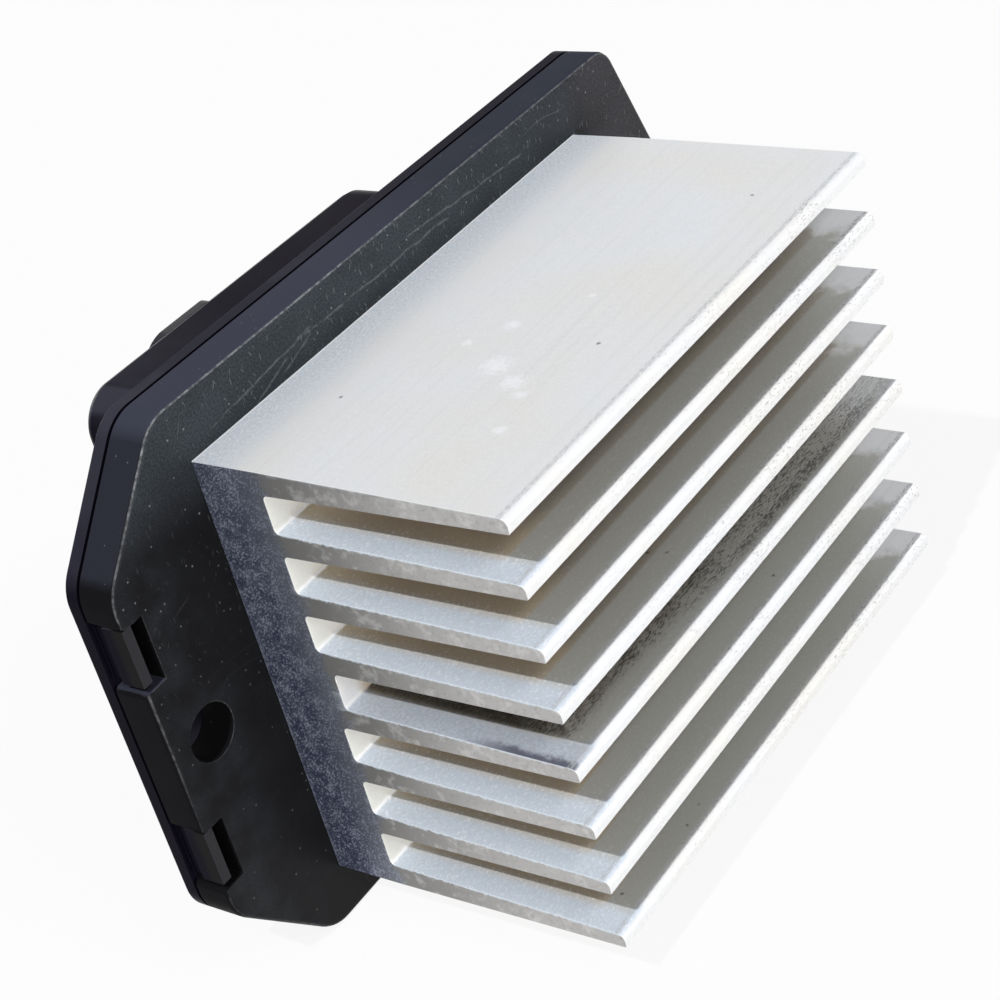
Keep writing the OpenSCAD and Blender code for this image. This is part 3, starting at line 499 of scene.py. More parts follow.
def mill_colour(net):
    """Bare extrusion, cloudy and streaked, with painted light and shade: a bluish reflection at the joint, a
    tint on the sunlit near-end strips, olive to brown shade in the channels, and highlights on the far
    strips, channel floors, fillets and back edge.
    """
    x, y, z = net.axes(net.place())
    tilt = net.facing()[2]
    upward = net.span(tilt, *UPPER_FACE)
    cloud = net.use(BLOTCHES, Size=14.0, Low=0.35, High=0.7)
    long_streaks = net.use(STREAKS, Length=30.0, Width=0.7)
    speckle = net.use(STREAKS, Length=0.38, Width=0.20)
    lower = net.span(z, *BELOW_TOP_FIN)
    colour = net.blend(cloud, MILL_COOL, MILL_WARM)
    # Painted reflection: the top fin turns bluish and darker next to the plate, which it mirrors
    joint = net.times(net.span(y, *JOINT), net.span(z, *ON_TOP_FIN))
    colour = net.blend(net.times(joint, 0.9), colour, JOINT_REFLECTION_BLUE)
    # Painted light: the strip the sun lights at the near end of each lower fin, darker and bluer than the top
    # fin
    strip = net.times(lower, upward, net.span(x, *NEAR_STRIP))
    colour = net.blend(strip, colour, SUNLIT_STRIP_BLUE)
    # Painted shade in the channels: olive past the tips, brown deeper in and in the upper channels, tan
    # towards the near end
    inside = net.times(lower, net.band(x, *CHANNEL_LENGTH))
    higher = net.span(z, *UPPER_CHANNELS, 0.2, 1.0)
    deep = net.blend(higher, CHANNEL_SHADE_OLIVE, CHANNEL_SHADE_BROWN)
    deep = net.blend(net.span(x, *TAN_PART), deep, CHANNEL_SHADE_TAN)
    channel = net.blend(net.span(y, *CHANNEL_DEPTH), CHANNEL_SHADE_OLIVE, deep)
    colour = net.blend(net.times(inside, net.span(y, *PAST_TIPS)), colour, channel)
    # Painted light: a pale strip at the far end of each lower fin, with a ragged edge
    ragged = net.use(BLOTCHES, Size=2.5, Low=0.30, High=0.70)
    far_edge = net.math("MULTIPLY_ADD", ragged, FAR_STRIP_WAVER, x)
    far_strip = net.times(lower, upward, net.span(far_edge, *FAR_STRIP))
    colour = net.blend(far_strip, colour, MILL_PALE_AND_HIGHLIGHT)
    # Painted light: the channel floors between the fins paler and warmer
    colour = net.blend(net.times(lower, net.span(y, *CHANNEL_FLOOR)), colour, LIT_FLOOR_WARM)
    # Painted highlight along the fillets where the fins meet the channel floors
    fillet = net.times(net.band(tilt, *FILLET_TILT), net.span(y, *FLOOR_FILLET))
    colour = net.blend(net.times(lower, fillet), colour, MILL_PALE_AND_HIGHLIGHT)
    lively = net.math("ADD", net.math("MAXIMUM", strip, net.times(joint, SPECKLE_AT_JOINT)), SPECKLE)
    colour = net.blend(net.span(long_streaks, 0.50, 0.75, 0.0, 0.12), colour, MILL_DULL)
    colour = net.blend(net.times(net.span(speckle, 0.50, 0.68, 0.0, 0.24), lively), colour, MILL_DULL)
    colour = net.blend(net.times(net.span(speckle, 0.47, 0.32, 0.0, 0.34), lively), colour, MILL_PALE_AND_HIGHLIGHT)
    # Painted highlight: a thin bright line along the back edge of the top fin
    edge_line = net.times(net.span(y, *BACK_EDGE), net.span(z, *TOP_EDGE))
    return net.blend(net.times(edge_line, 0.8), colour, MILL_PALE_AND_HIGHLIGHT), speckle


# Along the fin tips: a grey line of painted shade where the rounding starts, with a soft margin, and where
# the worn dashes begin and are full
TIP_CREASE_SHADE = (TIP + 0.60, TIP + 0.95, 0.15)
DASHES_ACROSS = (TIP + 1.6, TIP + 0.9)
DASHES_ALONG = (NEAR_END + 8.0, 12.0)


def add_tip_wear_and_shade(net, colour):
    """A broken grey line of painted shade where each tip's rounding starts, and fine worn dashes along the
    fin tips, more of them at the far end.
    """
    x, y, _ = net.axes(net.place())
    patches = net.use(BLOTCHES, Size=6.0, Low=0.36, High=0.60)
    dashes = net.use(STREAKS, Length=0.5, Width=0.13)
    # Painted shade: a broken grey line where the rounding of each tip starts
    border = net.times(net.band(y, *TIP_CREASE_SHADE), net.span(dashes, *MOST_NOISE, 0.10, 0.75))
    colour = net.blend(border, colour, MILL_DULL)
    near_tip = net.times(net.span(y, *DASHES_ACROSS), net.span(x, *DASHES_ALONG, 0.35, 1.0))
    worn = net.times(near_tip, patches, net.span(dashes, 0.55, 0.67, 0.0, 0.60))
    return net.blend(worn, colour, DASH_GREY)


def fin_level(fin, y):
    """Height of a fin's upper face at a place across it."""
    return TOP - fin * PITCH - FIN_SLOPE * max(BASE_FRONT - y, 0.0)


def add_fin_marks(net, colour):
    """Pale scuffs on the top fin and dark pits at their own places."""
    spot = net.place()
    ragged = net.use(GRAIN, Size=0.45)
    for x, y, reach in SCUFFS:
        scuff = net.patch(spot, (x, y, fin_level(0, y)), reach, ragged)
        colour = net.blend(net.times(scuff, SCUFF_SHARE), colour, SCUFF_PALE)
    for fin, x, y in PITS:
        pit = net.patch(spot, (x, y, fin_level(fin, y)), PIT_REACH, ragged)
        colour = net.blend(net.times(pit, PIT_SHARE), colour, PIT_DARK)
    return colour


# Stain on one fin: where each part of it begins and where it is full
STAIN_START = (NEAR_END + 2.6, NEAR_END + 3.6)
STAIN_EDGE = (-0.8, 0.8)
SOOT_ALONG = (NEAR_END + 16.0, NEAR_END + 6.0)
SOOT_ACROSS = (TIP + 4.5, TIP + 9.0)
BROWN_ALONG = (8.0, -12.0)
BROWN_ACROSS = (TIP + 1.8, TIP + 4.0)
THICKER_ALONG = (-24.0, 18.0)
BARE_ALONG = (19.0, 26.0)
FADING_ALONG = (22.0, 29.0)
DOTS_ACROSS = (-12.0, -24.0)
SMEAR_ALONG = (NEAR_END + 0.5, NEAR_END - 0.5)
# Clean border at the fin's tip: from one place along the fin to another, and where its edge lies there
CLEAN_ALONG = (-22.0, 8.0)
CLEAN_ACROSS = (TIP + 2.6, TIP + 0.9)
# Height of the stained face, a dark line behind its tip and the smear's width, each with a soft margin
STAIN_LEVELS = (STAINED_TOP - 1.0, STAINED_TOP + 0.2, 0.3)
TIP_LINE = (TIP + 0.9, TIP + 1.7, 0.5)
SMEAR_ACROSS = (TIP + 1.0, TIP + 6.0, 7.0)
# How far the smear's edge wavers, and how much more black there is in the deep part, afar and in patches
SMEAR_WAVER = -1.5
DEEP_BLACK = 0.09
FAR_BLACK = 0.04
PATCHY_BLACK = 0.07


def add_stain(net, colour):
    """Charcoal stain on one fin: grey film, soot, brown patches, black dashes and a smear at its near end."""
    x, y, z = net.axes(net.place())
    upward = net.span(net.facing()[2], *UPPER_FACE)
    on_fin = net.times(upward, net.band(z, *STAIN_LEVELS))
    film = net.use(STREAKS, Length=3.0, Width=0.5)
    dashes = net.use(STREAKS, Length=0.6, Width=0.14)
    patches = net.use(BLOTCHES, Size=3.5, Low=0.38, High=0.62)
    ragged = net.use(GRAIN, Size=0.9)
    behind_strip = net.span(x, *STAIN_START)
    clean_edge = net.math("SUBTRACT", y, net.span(x, *CLEAN_ALONG, *CLEAN_ACROSS))
    stained = net.times(on_fin, behind_strip, net.span(clean_edge, *STAIN_EDGE))
    strip = net.times(on_fin, net.math("SUBTRACT", 1.0, behind_strip))
    mottled = net.use(GRAIN, Size=0.3)
    colour = net.blend(net.times(strip, net.span(mottled, *MOST_NOISE, 0.55, 1.0)), colour, STAIN_BLUE)
    colour = net.blend(net.times(stained, net.span(film, 0.30, 0.62, 0.55, 1.0)), colour, STAIN_GREY)
    sooty = net.times(stained, net.span(x, *SOOT_ALONG), net.span(y, *SOOT_ACROSS))
    colour = net.blend(net.times(sooty, 0.85), colour, STAIN_BLACK)
    deep = net.times(stained, net.span(x, *BROWN_ALONG), net.span(y, *BROWN_ACROSS))
    colour = net.blend(net.times(deep, net.span(ragged, 0.38, 0.62, 0.20, 0.75)), colour, STAIN_BROWN)
    deeper = net.math("ADD", net.times(deep, DEEP_BLACK), net.band(y, *TIP_LINE))
    deeper = net.math("MINIMUM", deeper, DEEP_BLACK)
    farther = net.span(x, *THICKER_ALONG, 0.0, FAR_BLACK)
    thick = net.math("ADD", net.math("ADD", deeper, farther), net.times(patches, PATCHY_BLACK))
    streaked = net.times(stained, net.span(x, *BARE_ALONG), net.span(film, 0.35, 0.60, 0.25, 0.90))
    colour = net.blend(streaked, colour, MILL_COOL)
    black = net.times(stained, net.span(net.math("ADD", dashes, thick), 0.60, 0.70, 0.0, 0.72))
    colour = net.blend(net.times(black, net.span(x, *FADING_ALONG, 1.0, 0.4)), colour, STAIN_BLACK)
    dots = net.use(SPECKS, Spacing=0.6, Size=0.18, Share=0.40)
    colour = net.blend(net.times(strip, dots, net.span(y, *DOTS_ACROSS, 0.1, 0.6)), colour, SMEAR_DARK)
    smear_edge = net.math("MULTIPLY_ADD", ragged, SMEAR_WAVER, x)
    smear = net.times(on_fin, net.span(smear_edge, *SMEAR_ALONG), net.band(y, *SMEAR_ACROSS))
    return net.blend(net.times(smear, 0.9), colour, SMEAR_DARK)


def extruded_aluminium():
    """Mill finish of the extrusion with all its marks."""
    material, net, shader = new_material("aluminium_extruded", metallic=MILL_METAL, specular=MILL_SHINE)
    colour, speckle = mill_colour(net)
    colour = add_stain(net, colour)
    colour = add_tip_wear_and_shade(net, colour)
    colour = add_fin_marks(net, colour)
    net.feed(shader["Base Color"], colour)
    net.feed(shader["Roughness"], net.span(speckle, *WIDE_NOISE, *MILL_ROUGH))
    net.feed(shader["Normal"], net.bump(speckle, MILL_RELIEF))
    return material


# Shades of the sawn ends: where each begins and where it is full
DARK_BELOW = (8.0, -16.0)
GREY_ABOVE = (8.0, 20.0)
SMOOTH_FRONT = (-3.0, BASE_FRONT)
FEWER_FLECKS = (-2.5, BASE_FRONT)
BACK_BORDER = (0.25, 0.75)
BORDER_BELOW = (16.0, 2.0)
PALE_TIPS = (BASE_FRONT - 1.0, TIP + 6.0)
BURR_EDGE = (0.52, 0.36)
BURR_BELOW = (TOP - 1.0, TOP - 3.0)
FIN_ENDS = (BASE_FRONT + 2.6, BASE_FRONT + 0.2)
# How far the border at the back, the burr and the line between base and fins waver
BORDER_WAVER = 1.4
BURR_WAVER = 0.6
FIN_ENDS_WAVER = 4.0


def sawn_aluminium():
    """Sawn ends: torn bluish flecks on the base, smoother warm grey fins with a pale burr on top."""
    material, net, shader = new_material("aluminium_sawn", metallic=SAWN_METAL)
    _, y, z = net.axes(net.place())
    coarse = net.use(GRAIN, Size=1.3)
    fine = net.use(GRAIN, Size=0.14)
    ragged = net.use(GRAIN, Size=0.45)
    turned = net.mapped(net.place(), (1.0, 1.0, 1.0), (SAW_TURN, 0.0, 0.0))
    flecks = net.noise(net.mapped(turned, (1.0, FLECKS_ALONG, FLECKS_ACROSS)), 1.0, rough=0.6)
    torn = net.blend(net.span(coarse, 0.36, 0.66), SAWN_DARK, SAWN_GREY)
    torn = net.blend(net.span(z, *DARK_BELOW, 0.0, 0.60), torn, SAWN_DARK)
    torn = net.blend(net.span(z, *GREY_ABOVE, 0.0, 0.45), torn, SAWN_GREY)
    torn = net.blend(net.span(y, *SMOOTH_FRONT, 0.0, 0.80), torn, SAWN_SMOOTH)
    thick = net.math("MULTIPLY_ADD", coarse, 0.30, flecks)
    fewer = net.span(y, *FEWER_FLECKS, 1.0, 0.55)
    torn = net.blend(net.times(net.span(thick, 0.63, 0.81, 0.0, 0.85), fewer), torn, SAWN_FLECK)
    border = net.span(net.math("MULTIPLY_ADD", ragged, BORDER_WAVER, y), *BACK_BORDER)
    torn = net.blend(net.times(border, net.span(z, *BORDER_BELOW, 0.0, 0.5)), torn, SAWN_FLECK)
    cut = net.blend(net.span(y, *PALE_TIPS), CUT_DULL, CUT_PALE)
    cut = net.blend(net.span(coarse, 0.50, 0.70, 0.0, 0.35), cut, MILL_WARM)
    cut = net.blend(net.span(ragged, 0.50, 0.70, 0.0, 0.35), cut, CUT_DULL)
    glints = net.use(SPECKS, Spacing=0.9, Size=0.15, Share=0.25)
    cut = net.blend(net.times(glints, 0.5), cut, MILL_PALE_AND_HIGHLIGHT)
    level = net.math("WRAP", net.math("SUBTRACT", z, TOP_MIDDLE), PITCH / 2, -PITCH / 2)
    half_fin = net.math("MULTIPLY_ADD", y, FIN_SLOPE, FIN_ROOT / 2 / MM - FIN_SLOPE * BASE_FRONT)
    below_edge = net.math("SUBTRACT", half_fin, level)
    burr = net.span(net.math("MULTIPLY_ADD", ragged, BURR_WAVER, below_edge), *BURR_EDGE)
    cut = net.blend(net.times(burr, net.span(z, *BURR_BELOW, 0.2, 1.0)), cut, BURR_PALE)
    on_fins = net.span(net.math("MULTIPLY_ADD", coarse, FIN_ENDS_WAVER, y), *FIN_ENDS)
    net.feed(shader["Base Color"], net.blend(on_fins, torn, cut))
    net.feed(shader["Roughness"], net.span(fine, *WIDE_NOISE, *SAWN_ROUGH))
    relief = net.math("ADD", net.times(flecks, net.math("SUBTRACT", 1.0, on_fins)), net.times(fine, 0.3))
    net.feed(shader["Normal"], net.bump(relief, SAWN_RELIEF))
    return material


# Hairlines on the plate's front and the cover's back: turn, length, width, share, bend
HAIRLINES = ((1.57, 2.2, 0.07, 0.55, 0.3), (1.15, 1.8, 0.07, 0.50, 0.3), (2.00, 1.6, 0.07, 0.50, 0.3),
             (0.04, 30.0, 0.06, 0.10, 1.0), (0.75, 7.0, 0.06, 0.08, 0.6))


def hairlines(net):
    """The strongest of several layers of hairline scratches."""
    lines = 0.0
    for turn, length, width, share, bend in HAIRLINES:
        layer = net.use(SCRATCHES, Turn=turn, Length=length, Width=width, Share=share, Bend=bend)
        lines = net.math("MAXIMUM", layer, lines)
    return lines


def long_scratches(net):
    """A few long scratches at their own places, slightly wavering and broken."""
    spot = net.place()
    waver = net.math("MULTIPLY_ADD", net.use(GRAIN, Size=3.5), LONG_WAVER, -HALF_WAVER)
    waver = net.math("MULTIPLY_ADD", net.use(GRAIN, Size=0.6), SHORT_WAVER, waver)
    broken = net.span(net.use(GRAIN, Size=1.0), 0.36, 0.56, 0.15, 1.0)
    lines = 0.0
    for x0, z0, x1, z1 in LONG_SCRATCHES:
        start = Vector((x0, 0.0, z0))
        reach = Vector((x1, 0.0, z1)) - start
        ahead = reach.normalized()
        aside = Vector((-ahead.z, 0.0, ahead.x))
        full = (SCRATCH_END, reach.length - SCRATCH_END)
        within = net.band(net.along(spot, start, ahead), *full, SCRATCH_FADE)
        apart = net.math("ABSOLUTE", net.math("ADD", net.along(spot, start, aside), waver))
        line = net.times(within, net.span(apart, SCRATCH_WIDTH, SCRATCH_WIDTH / 3))
        lines = net.math("MAXIMUM", line, lines)
    return net.times(lines, broken)


# Haze with painted sheen, dust with painted sheen and worn edges with painted highlight on the plate: where
# each begins and where it is full
FRONT_FACE = (-0.7, -0.97)
HAZE_AND_SHEEN_UP = (17.0, 26.0)
HAZE_AND_SHEEN_ALONG = (45.0, 5.0)
HAZE_AND_SHEEN_FADING_AT_SINK = (NEAR_END - 2.0, NEAR_END - 9.0)
FAR_HAZE_AND_SHEEN_ALONG = (FAR_END - 2.0, FAR_END + 4.0)
FAR_HAZE_AND_SHEEN_UP = (8.0, 18.0)
HAIRLINES_UP = (-5.0, 18.0)
HAIRLINES_ALONG = (NEAR_END - 2.0, NEAR_END + 3.0)
DUST_AND_SHEEN_FACE = (0.45, 0.97)
DUST_AND_SHEEN_UP = (2.0, 10.0)
MORE_DUST_AND_SHEEN_ALONG = (12.0, -4.0)
SPECKS_FACE = (-0.2, -0.9)
SPECKS_UP = (8.0, 20.0)
WORN_AND_HIGHLIT_UP = (-10.0, 12.0)
WORN_AND_HIGHLIT_ALONG = (20.0, -20.0)
NEAR_CORNER = (-38.0, -42.0)


def housing_plastic(name, shine):
    """Black moulded plate: hazy with a painted sheen and scratched in front, in painted shade beside the
    sink, dusty with a painted sheen on top, worn pale along its front edge with a painted highlight.
    """
    material, net, shader = new_material(name, specular=shine)
    x, _, z = net.axes(net.place())
    _, toward, upward = net.facing()
    front = net.span(toward, *FRONT_FACE)
    grain = net.use(GRAIN, Size=0.22)
    cloud = net.use(BLOTCHES, Size=8.0, Low=0.30, High=0.72)
    smears = net.use(BLOTCHES, Size=4.0, Low=0.25, High=0.75)
    # Haze with painted sheen: lighter on the band above the heat sink and at the far end, fading to painted
    # shade beside the sink
    upper = net.times(net.span(z, *HAZE_AND_SHEEN_UP, 0.0, 0.90), net.span(x, *HAZE_AND_SHEEN_ALONG, 0.65, 1.0))
    beside = net.times(net.span(x, *HAZE_AND_SHEEN_FADING_AT_SINK, 0.03, 0.26), smears)
    far = net.times(net.span(x, *FAR_HAZE_AND_SHEEN_ALONG), net.span(z, *FAR_HAZE_AND_SHEEN_UP, 0.2, 0.85))
    high = net.math("MAXIMUM", net.math("MAXIMUM", upper, beside), far)
    haze_and_sheen = net.times(front, high, net.span(cloud, 0.0, 1.0, 0.80, 1.05),
                     net.span(grain, *MOST_NOISE, 0.60, 1.25))
    colour = net.blend(haze_and_sheen, HOUSING_BLACK, net.blend(far, FRONT_HAZE_AND_SHEEN, FAR_HAZE_AND_SHEEN))
    # Dust with a painted sky sheen on the upward walls, thinner and darker further along
    layer = net.blend(net.span(x, *MORE_DUST_AND_SHEEN_ALONG), FAR_DUST_AND_SKY_SHEEN, DUST_AND_SKY_SHEEN)
    colour = net.blend(net.times(net.span(upward, *DUST_AND_SHEEN_FACE), net.span(z, *DUST_AND_SHEEN_UP)), colour, layer)
    lines = net.times(hairlines(net), front, net.span(z, *HAIRLINES_UP, 0.12, 1.0),
                      net.span(x, *HAIRLINES_ALONG, 0.25, 1.0))
    colour = net.blend(lines, colour, HAIRLINE)
    colour = net.blend(net.times(long_scratches(net), front, 0.6), colour, LONG_SCRATCH)
    dust = net.use(SPECKS, Spacing=0.7, Size=0.14, Share=0.40)
    dust = net.times(dust, net.span(toward, *SPECKS_FACE, 0.4, 1.0))
    colour = net.blend(net.times(dust, net.span(z, *SPECKS_UP, 0.22, 0.60)), colour, DUST_SPECK)
    # Worn front edges with a painted highlight, strongest high up and at the near corner
    worn_and_highlit = net.times(net.span(z, *WORN_AND_HIGHLIT_UP, 0.25, 1.0), net.span(x, *WORN_AND_HIGHLIT_ALONG, 0.55, 1.0))
    near_end = net.span(x, *NEAR_CORNER, 0.85, 0.45)
    wear_and_highlight = net.times(net.use(EDGE_WEAR_AND_HIGHLIGHT, Size=0.6, Low=0.36, High=0.66), worn_and_highlit, near_end)
    colour = net.blend(wear_and_highlight, colour, RUBBED_AND_HIGHLIT_PALE)
    net.feed(shader["Base Color"], colour)
    net.feed(shader["Roughness"], net.span(cloud, 0.0, 1.0, *PLATE_ROUGH))
    net.feed(shader["Normal"], net.bump(grain, PLATE_RELIEF))
    return material


def add_cover_wear_and_highlight(net, colour):
    """Slightly worn edges of the cover, with a faint painted highlight."""
    wear_and_highlight = net.use(EDGE_WEAR_AND_HIGHLIGHT, Size=2.0, Low=0.45, High=0.70)
    return net.blend(net.times(wear_and_highlight, 0.25), colour, RUBBED_AND_HIGHLIT_PALE)


# Dust, painted sheen and greys on the cover: where each begins and where it is full
RIM = (PLATE_BACK + 1.9, PLATE_BACK + 1.6)
NEAR_BODY = (-12.0, -26.0)
NEARER = (30.0, -40.0)
RIM_FACE = (0.25, 0.95)
CORNER_FACE = (0.3, 0.7)
CORNER_ACROSS = (7.0, 8.5)
ARMS = (PLATE_BACK - 3.0, PLATE_BACK - 4.0)
ARM_END_FACE = (-0.5, -0.9)
# Near corner of the body, where a highlight is painted, and inner corner of the rim, each with a soft margin
BODY_CORNER = (-30.4, -28.6, 0.6)
RIM_CORNER = (PLATE_BACK + 1.4, PLATE_BACK + 2.2, 0.2)


def cover_plastic():
    """Purple-black cover: dust with a painted sheen lies on its upward faces, most on the rim, less on the
    body and towards the far end, with a painted highlight on the body's near corner.
    """
    material, net, shader = new_material("cover_plastic", specular=COVER_SHINE)
    x, y, _ = net.axes(net.place())
    _, toward, upward = net.facing()
    grain = net.use(GRAIN, Size=0.3)
    cloud = net.use(BLOTCHES, Size=9.0, Low=0.30, High=0.72)
    # Dust with a painted sheen on upward faces, most on the rim and lighter towards the near end
    rim = net.span(y, *RIM, 0.0, 0.95)
    body = net.span(x, *NEAR_BODY, 0.0, 0.40)
    nearer = net.span(x, *NEARER, 0.15, 1.0)
    share = net.math("MAXIMUM", net.times(rim, nearer), body)
    cover_dust_and_sheen = net.times(net.span(upward, *RIM_FACE), share, net.span(cloud, 0.0, 1.0, 0.6, 1.1))
    colour = net.blend(cover_dust_and_sheen, COVER_BLACK, RIM_DUST_AND_SHEEN)
    # Painted highlight on the rounded near corner of the body
    shine = net.times(net.band(x, *BODY_CORNER), net.span(upward, *CORNER_FACE), net.span(y, *CORNER_ACROSS))
    colour = net.blend(net.times(shine, 0.9), colour, RIM_DUST_AND_SHEEN)
    on_arms = net.span(y, *ARMS)
    colour = net.blend(on_arms, colour, ARM_BLACK)
    colour = net.blend(net.times(on_arms, net.span(toward, *ARM_END_FACE)), colour, ARM_END_GREY)
    dust = net.use(SPECKS, Spacing=2.0, Size=0.06, Share=0.30)
    colour = net.blend(net.times(dust, 0.6), colour, DUST_SPECK)
    corner = net.band(y, *RIM_CORNER)
    caught = net.times(corner, net.use(SPECKS, Spacing=0.7, Size=0.22, Share=0.35), nearer)
    colour = net.blend(net.times(caught, 0.5), colour, DUST_SPECK)
    net.feed(shader["Base Color"], add_cover_wear_and_highlight(net, colour))
    net.feed(shader["Roughness"], net.span(cloud, 0.0, 1.0, *COVER_ROUGH))
    net.feed(shader["Normal"], net.bump(grain, COVER_RELIEF))
    return material


def cover_back():
    """Connector, back, far end and underside of the cover: smears, hairlines, dust, and worn edges with a
    painted highlight.
    """
    material, net, shader = new_material("cover_back", specular=BACK_SHINE)
    grain = net.use(GRAIN, Size=0.3)
    smears = net.use(BLOTCHES, Size=7.0, Low=0.30, High=0.75)
    colour = net.blend(net.times(smears, 0.7), COVER_BLACK, BACK_HAZE)
    colour = net.blend(net.times(hairlines(net), 0.25), colour, HAIRLINE)
    dust = net.use(SPECKS, Spacing=1.4, Size=0.08, Share=0.30)
    colour = net.blend(net.times(dust, 0.5), colour, DUST_SPECK)
    net.feed(shader["Base Color"], add_cover_wear_and_highlight(net, colour))
    net.feed(shader["Roughness"], net.span(smears, 0.0, 1.0, *BACK_ROUGH))
    net.feed(shader["Normal"], net.bump(grain, BACK_RELIEF))
    return material


def plain_finish(name, colour, second, rough, metallic=0.0, size=0.6):
    """A small part's finish: two near shades in grains of a size in millimetres, and a slight relief."""
    material, net, shader = new_material(name, metallic=metallic)
    grain = net.use(GRAIN, Size=size)
    net.feed(shader["Base Color"], net.blend(net.span(grain, *MOST_NOISE), colour + (1.0,), second + (1.0,)))
    net.feed(shader["Roughness"], net.span(grain, *WIDE_NOISE, rough, rough + INNER_ROUGH_STEP))
    net.feed(shader["Normal"], net.bump(grain, INNER_RELIEF))
    return material


ALUMINIUM = extruded_aluminium()
SAWN = sawn_aluminium()
HOUSING_PLASTIC = housing_plastic("housing_plastic", FRONT_SHINE)
HOUSING_WALL = housing_plastic("housing_wall", WALL_SHINE)
COVER_PLASTIC = cover_plastic()
COVER_BACK = cover_back()

# Finishes of the pieces inside, by material slot: two shades, roughness, metallic, grain size
INNER_FINISHES = {
    "board": ((0.012, 0.085, 0.040), (0.018, 0.105, 0.050), 0.38, 0.0, 1.2),
    "steel": ((0.56, 0.56, 0.57), (0.68, 0.68, 0.68), 0.30, 1.0, 0.4),
    "tinned": ((0.66, 0.66, 0.65), (0.78, 0.78, 0.77), 0.34, 1.0, 0.3),
    "terminal_brass": ((0.72, 0.53, 0.22), (0.80, 0.62, 0.30), 0.30, 1.0, 0.5),
    "chip_plastic": ((0.016, 0.016, 0.017), (0.026, 0.026, 0.028), 0.52, 0.0, 0.2),
    "pad_silicone": ((0.34, 0.50, 0.60), (0.40, 0.56, 0.66), 0.60, 0.0, 0.8),
    "bush_plastic": ((0.74, 0.71, 0.62), (0.80, 0.77, 0.69), 0.45, 0.0, 0.7),
    "can_sleeve": ((0.020, 0.024, 0.040), (0.030, 0.035, 0.055), 0.33, 0.0, 0.9),
    "bung_rubber": ((0.030, 0.030, 0.030), (0.045, 0.045, 0.045), 0.70, 0.0, 0.3),
    "fuse_case": ((0.60, 0.50, 0.34), (0.68, 0.58, 0.42), 0.42, 0.3, 0.6),
    "shunt_alloy": ((0.42, 0.36, 0.29), (0.52, 0.45, 0.37), 0.36, 1.0, 0.5),
    "resistor_ceramic": ((0.020, 0.020, 0.021), (0.032, 0.032, 0.034), 0.48, 0.0, 0.2),
    "capacitor_ceramic": ((0.48, 0.36, 0.22), (0.56, 0.43, 0.28), 0.42, 0.0, 0.3),
}
INNER_MATERIALS = {slot: plain_finish(slot, *finish) for slot, finish in INNER_FINISHES.items()}


def merged(node):
    """A copy of a CAD node's mesh, with its loose triangles joined to flat faces."""
    shape = bmesh.new()
    shape.from_mesh(frame["nodes"][node].data)
    bmesh.ops.remove_doubles(shape, verts=shape.verts[:], dist=WELD)
    bmesh.ops.dissolve_limit(shape, angle_limit=FLAT_ANGLE, verts=shape.verts[:], edges=shape.edges[:])
    return shape


def soften(shape, width, wanted, shortest=0.0):
    """Bevels the wanted sharp edges that are long enough to take it."""
    edges = [edge for edge in shape.edges
             if edge.is_manifold and edge.calc_face_angle() > CREASE_ANGLE
             and edge.calc_length() > shortest and wanted(edge)]
    bmesh.ops.bevel(shape, geom=edges, offset=width, offset_type="OFFSET", affect="EDGES",
                    segments=EDGE_STEPS, profile=0.5, material=-1, clamp_overlap=False)


def finish_piece(name, shape, materials, node):
    """Turns a shape into a piece that stands for a CAD node."""
    for face in shape.faces:
        face.smooth = True
    for edge in shape.edges:
        edge.smooth = edge.is_manifold and edge.calc_face_angle() < CREASE_ANGLE
    mesh = bpy.data.meshes.new(name)
    shape.to_mesh(mesh)
    shape.free()
    for material in materials:
        mesh.materials.append(material)
    piece = bpy.data.objects.new(name, mesh)
    bpy.context.scene.collection.objects.link(piece)
    piece.modifiers.new("Flat faces", "WEIGHTED_NORMAL").keep_sharp = True
    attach(piece, "root")
    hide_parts(node)


def middle(edge):
    return (edge.verts[0].co + edge.verts[1].co) / 2


def make_sink():
    """The finned extrusion, with its sawn ends in their own finish."""
    shape = merged("heat_sink")
    soften(shape, SAWN_EDGE, lambda edge: abs(edge.verts[0].co.x - edge.verts[1].co.x) < WELD)
    shape.normal_update()
    for face in shape.faces:
        face.material_index = int(abs(face.normal.x) > LEANS)
    finish_piece("finned_sink", shape, [ALUMINIUM, SAWN], "heat_sink")


def make_housing():
    """The front plate with its front edges broken, and its near and upper walls in a duller finish."""
    shape = merged("housing")
    soften(shape, PLASTIC_EDGE, lambda edge: middle(edge).y < plate_high.y / 2, SHORTEST_EDGE)
    shape.normal_update()
    for face in shape.faces:
        across, toward, upward = face.normal
        face.material_index = int(abs(toward) < LEANS and across < LEANS and upward > -LEANS)
    finish_piece("front_plate", shape, [HOUSING_PLASTIC, HOUSING_WALL], "housing")


def make_cover():
    """The rear cover with its outer edges broken, and its hidden sides in a finish of their own."""
    shape = merged("rear_cover")
    soften(shape, PLASTIC_EDGE, lambda edge: middle(edge).y > plate_high.y, SHORTEST_EDGE)
    shape.normal_update()
    for face in shape.faces:
        on_connector = face.calc_center_median().y > BODY_BACK
        behind = face.normal.y > LEANS_BACK or face.normal.x > LEANS or face.normal.z < -LEANS
        face.material_index = int(on_connector or behind)
    finish_piece("clip_cover", shape, [COVER_PLASTIC, COVER_BACK], "rear_cover")


def make_blades():
    """The connector's four blades with broken edges."""
    brass = INNER_MATERIALS["terminal_brass"]
    for node in ("power_terminal_1", "power_terminal_2", "signal_terminal_1", "signal_terminal_2"):
        shape = merged(node)
        soften(shape, BLADE_EDGE, lambda edge: True)
        finish_piece(node.replace("terminal", "blade"), shape, [brass], node)


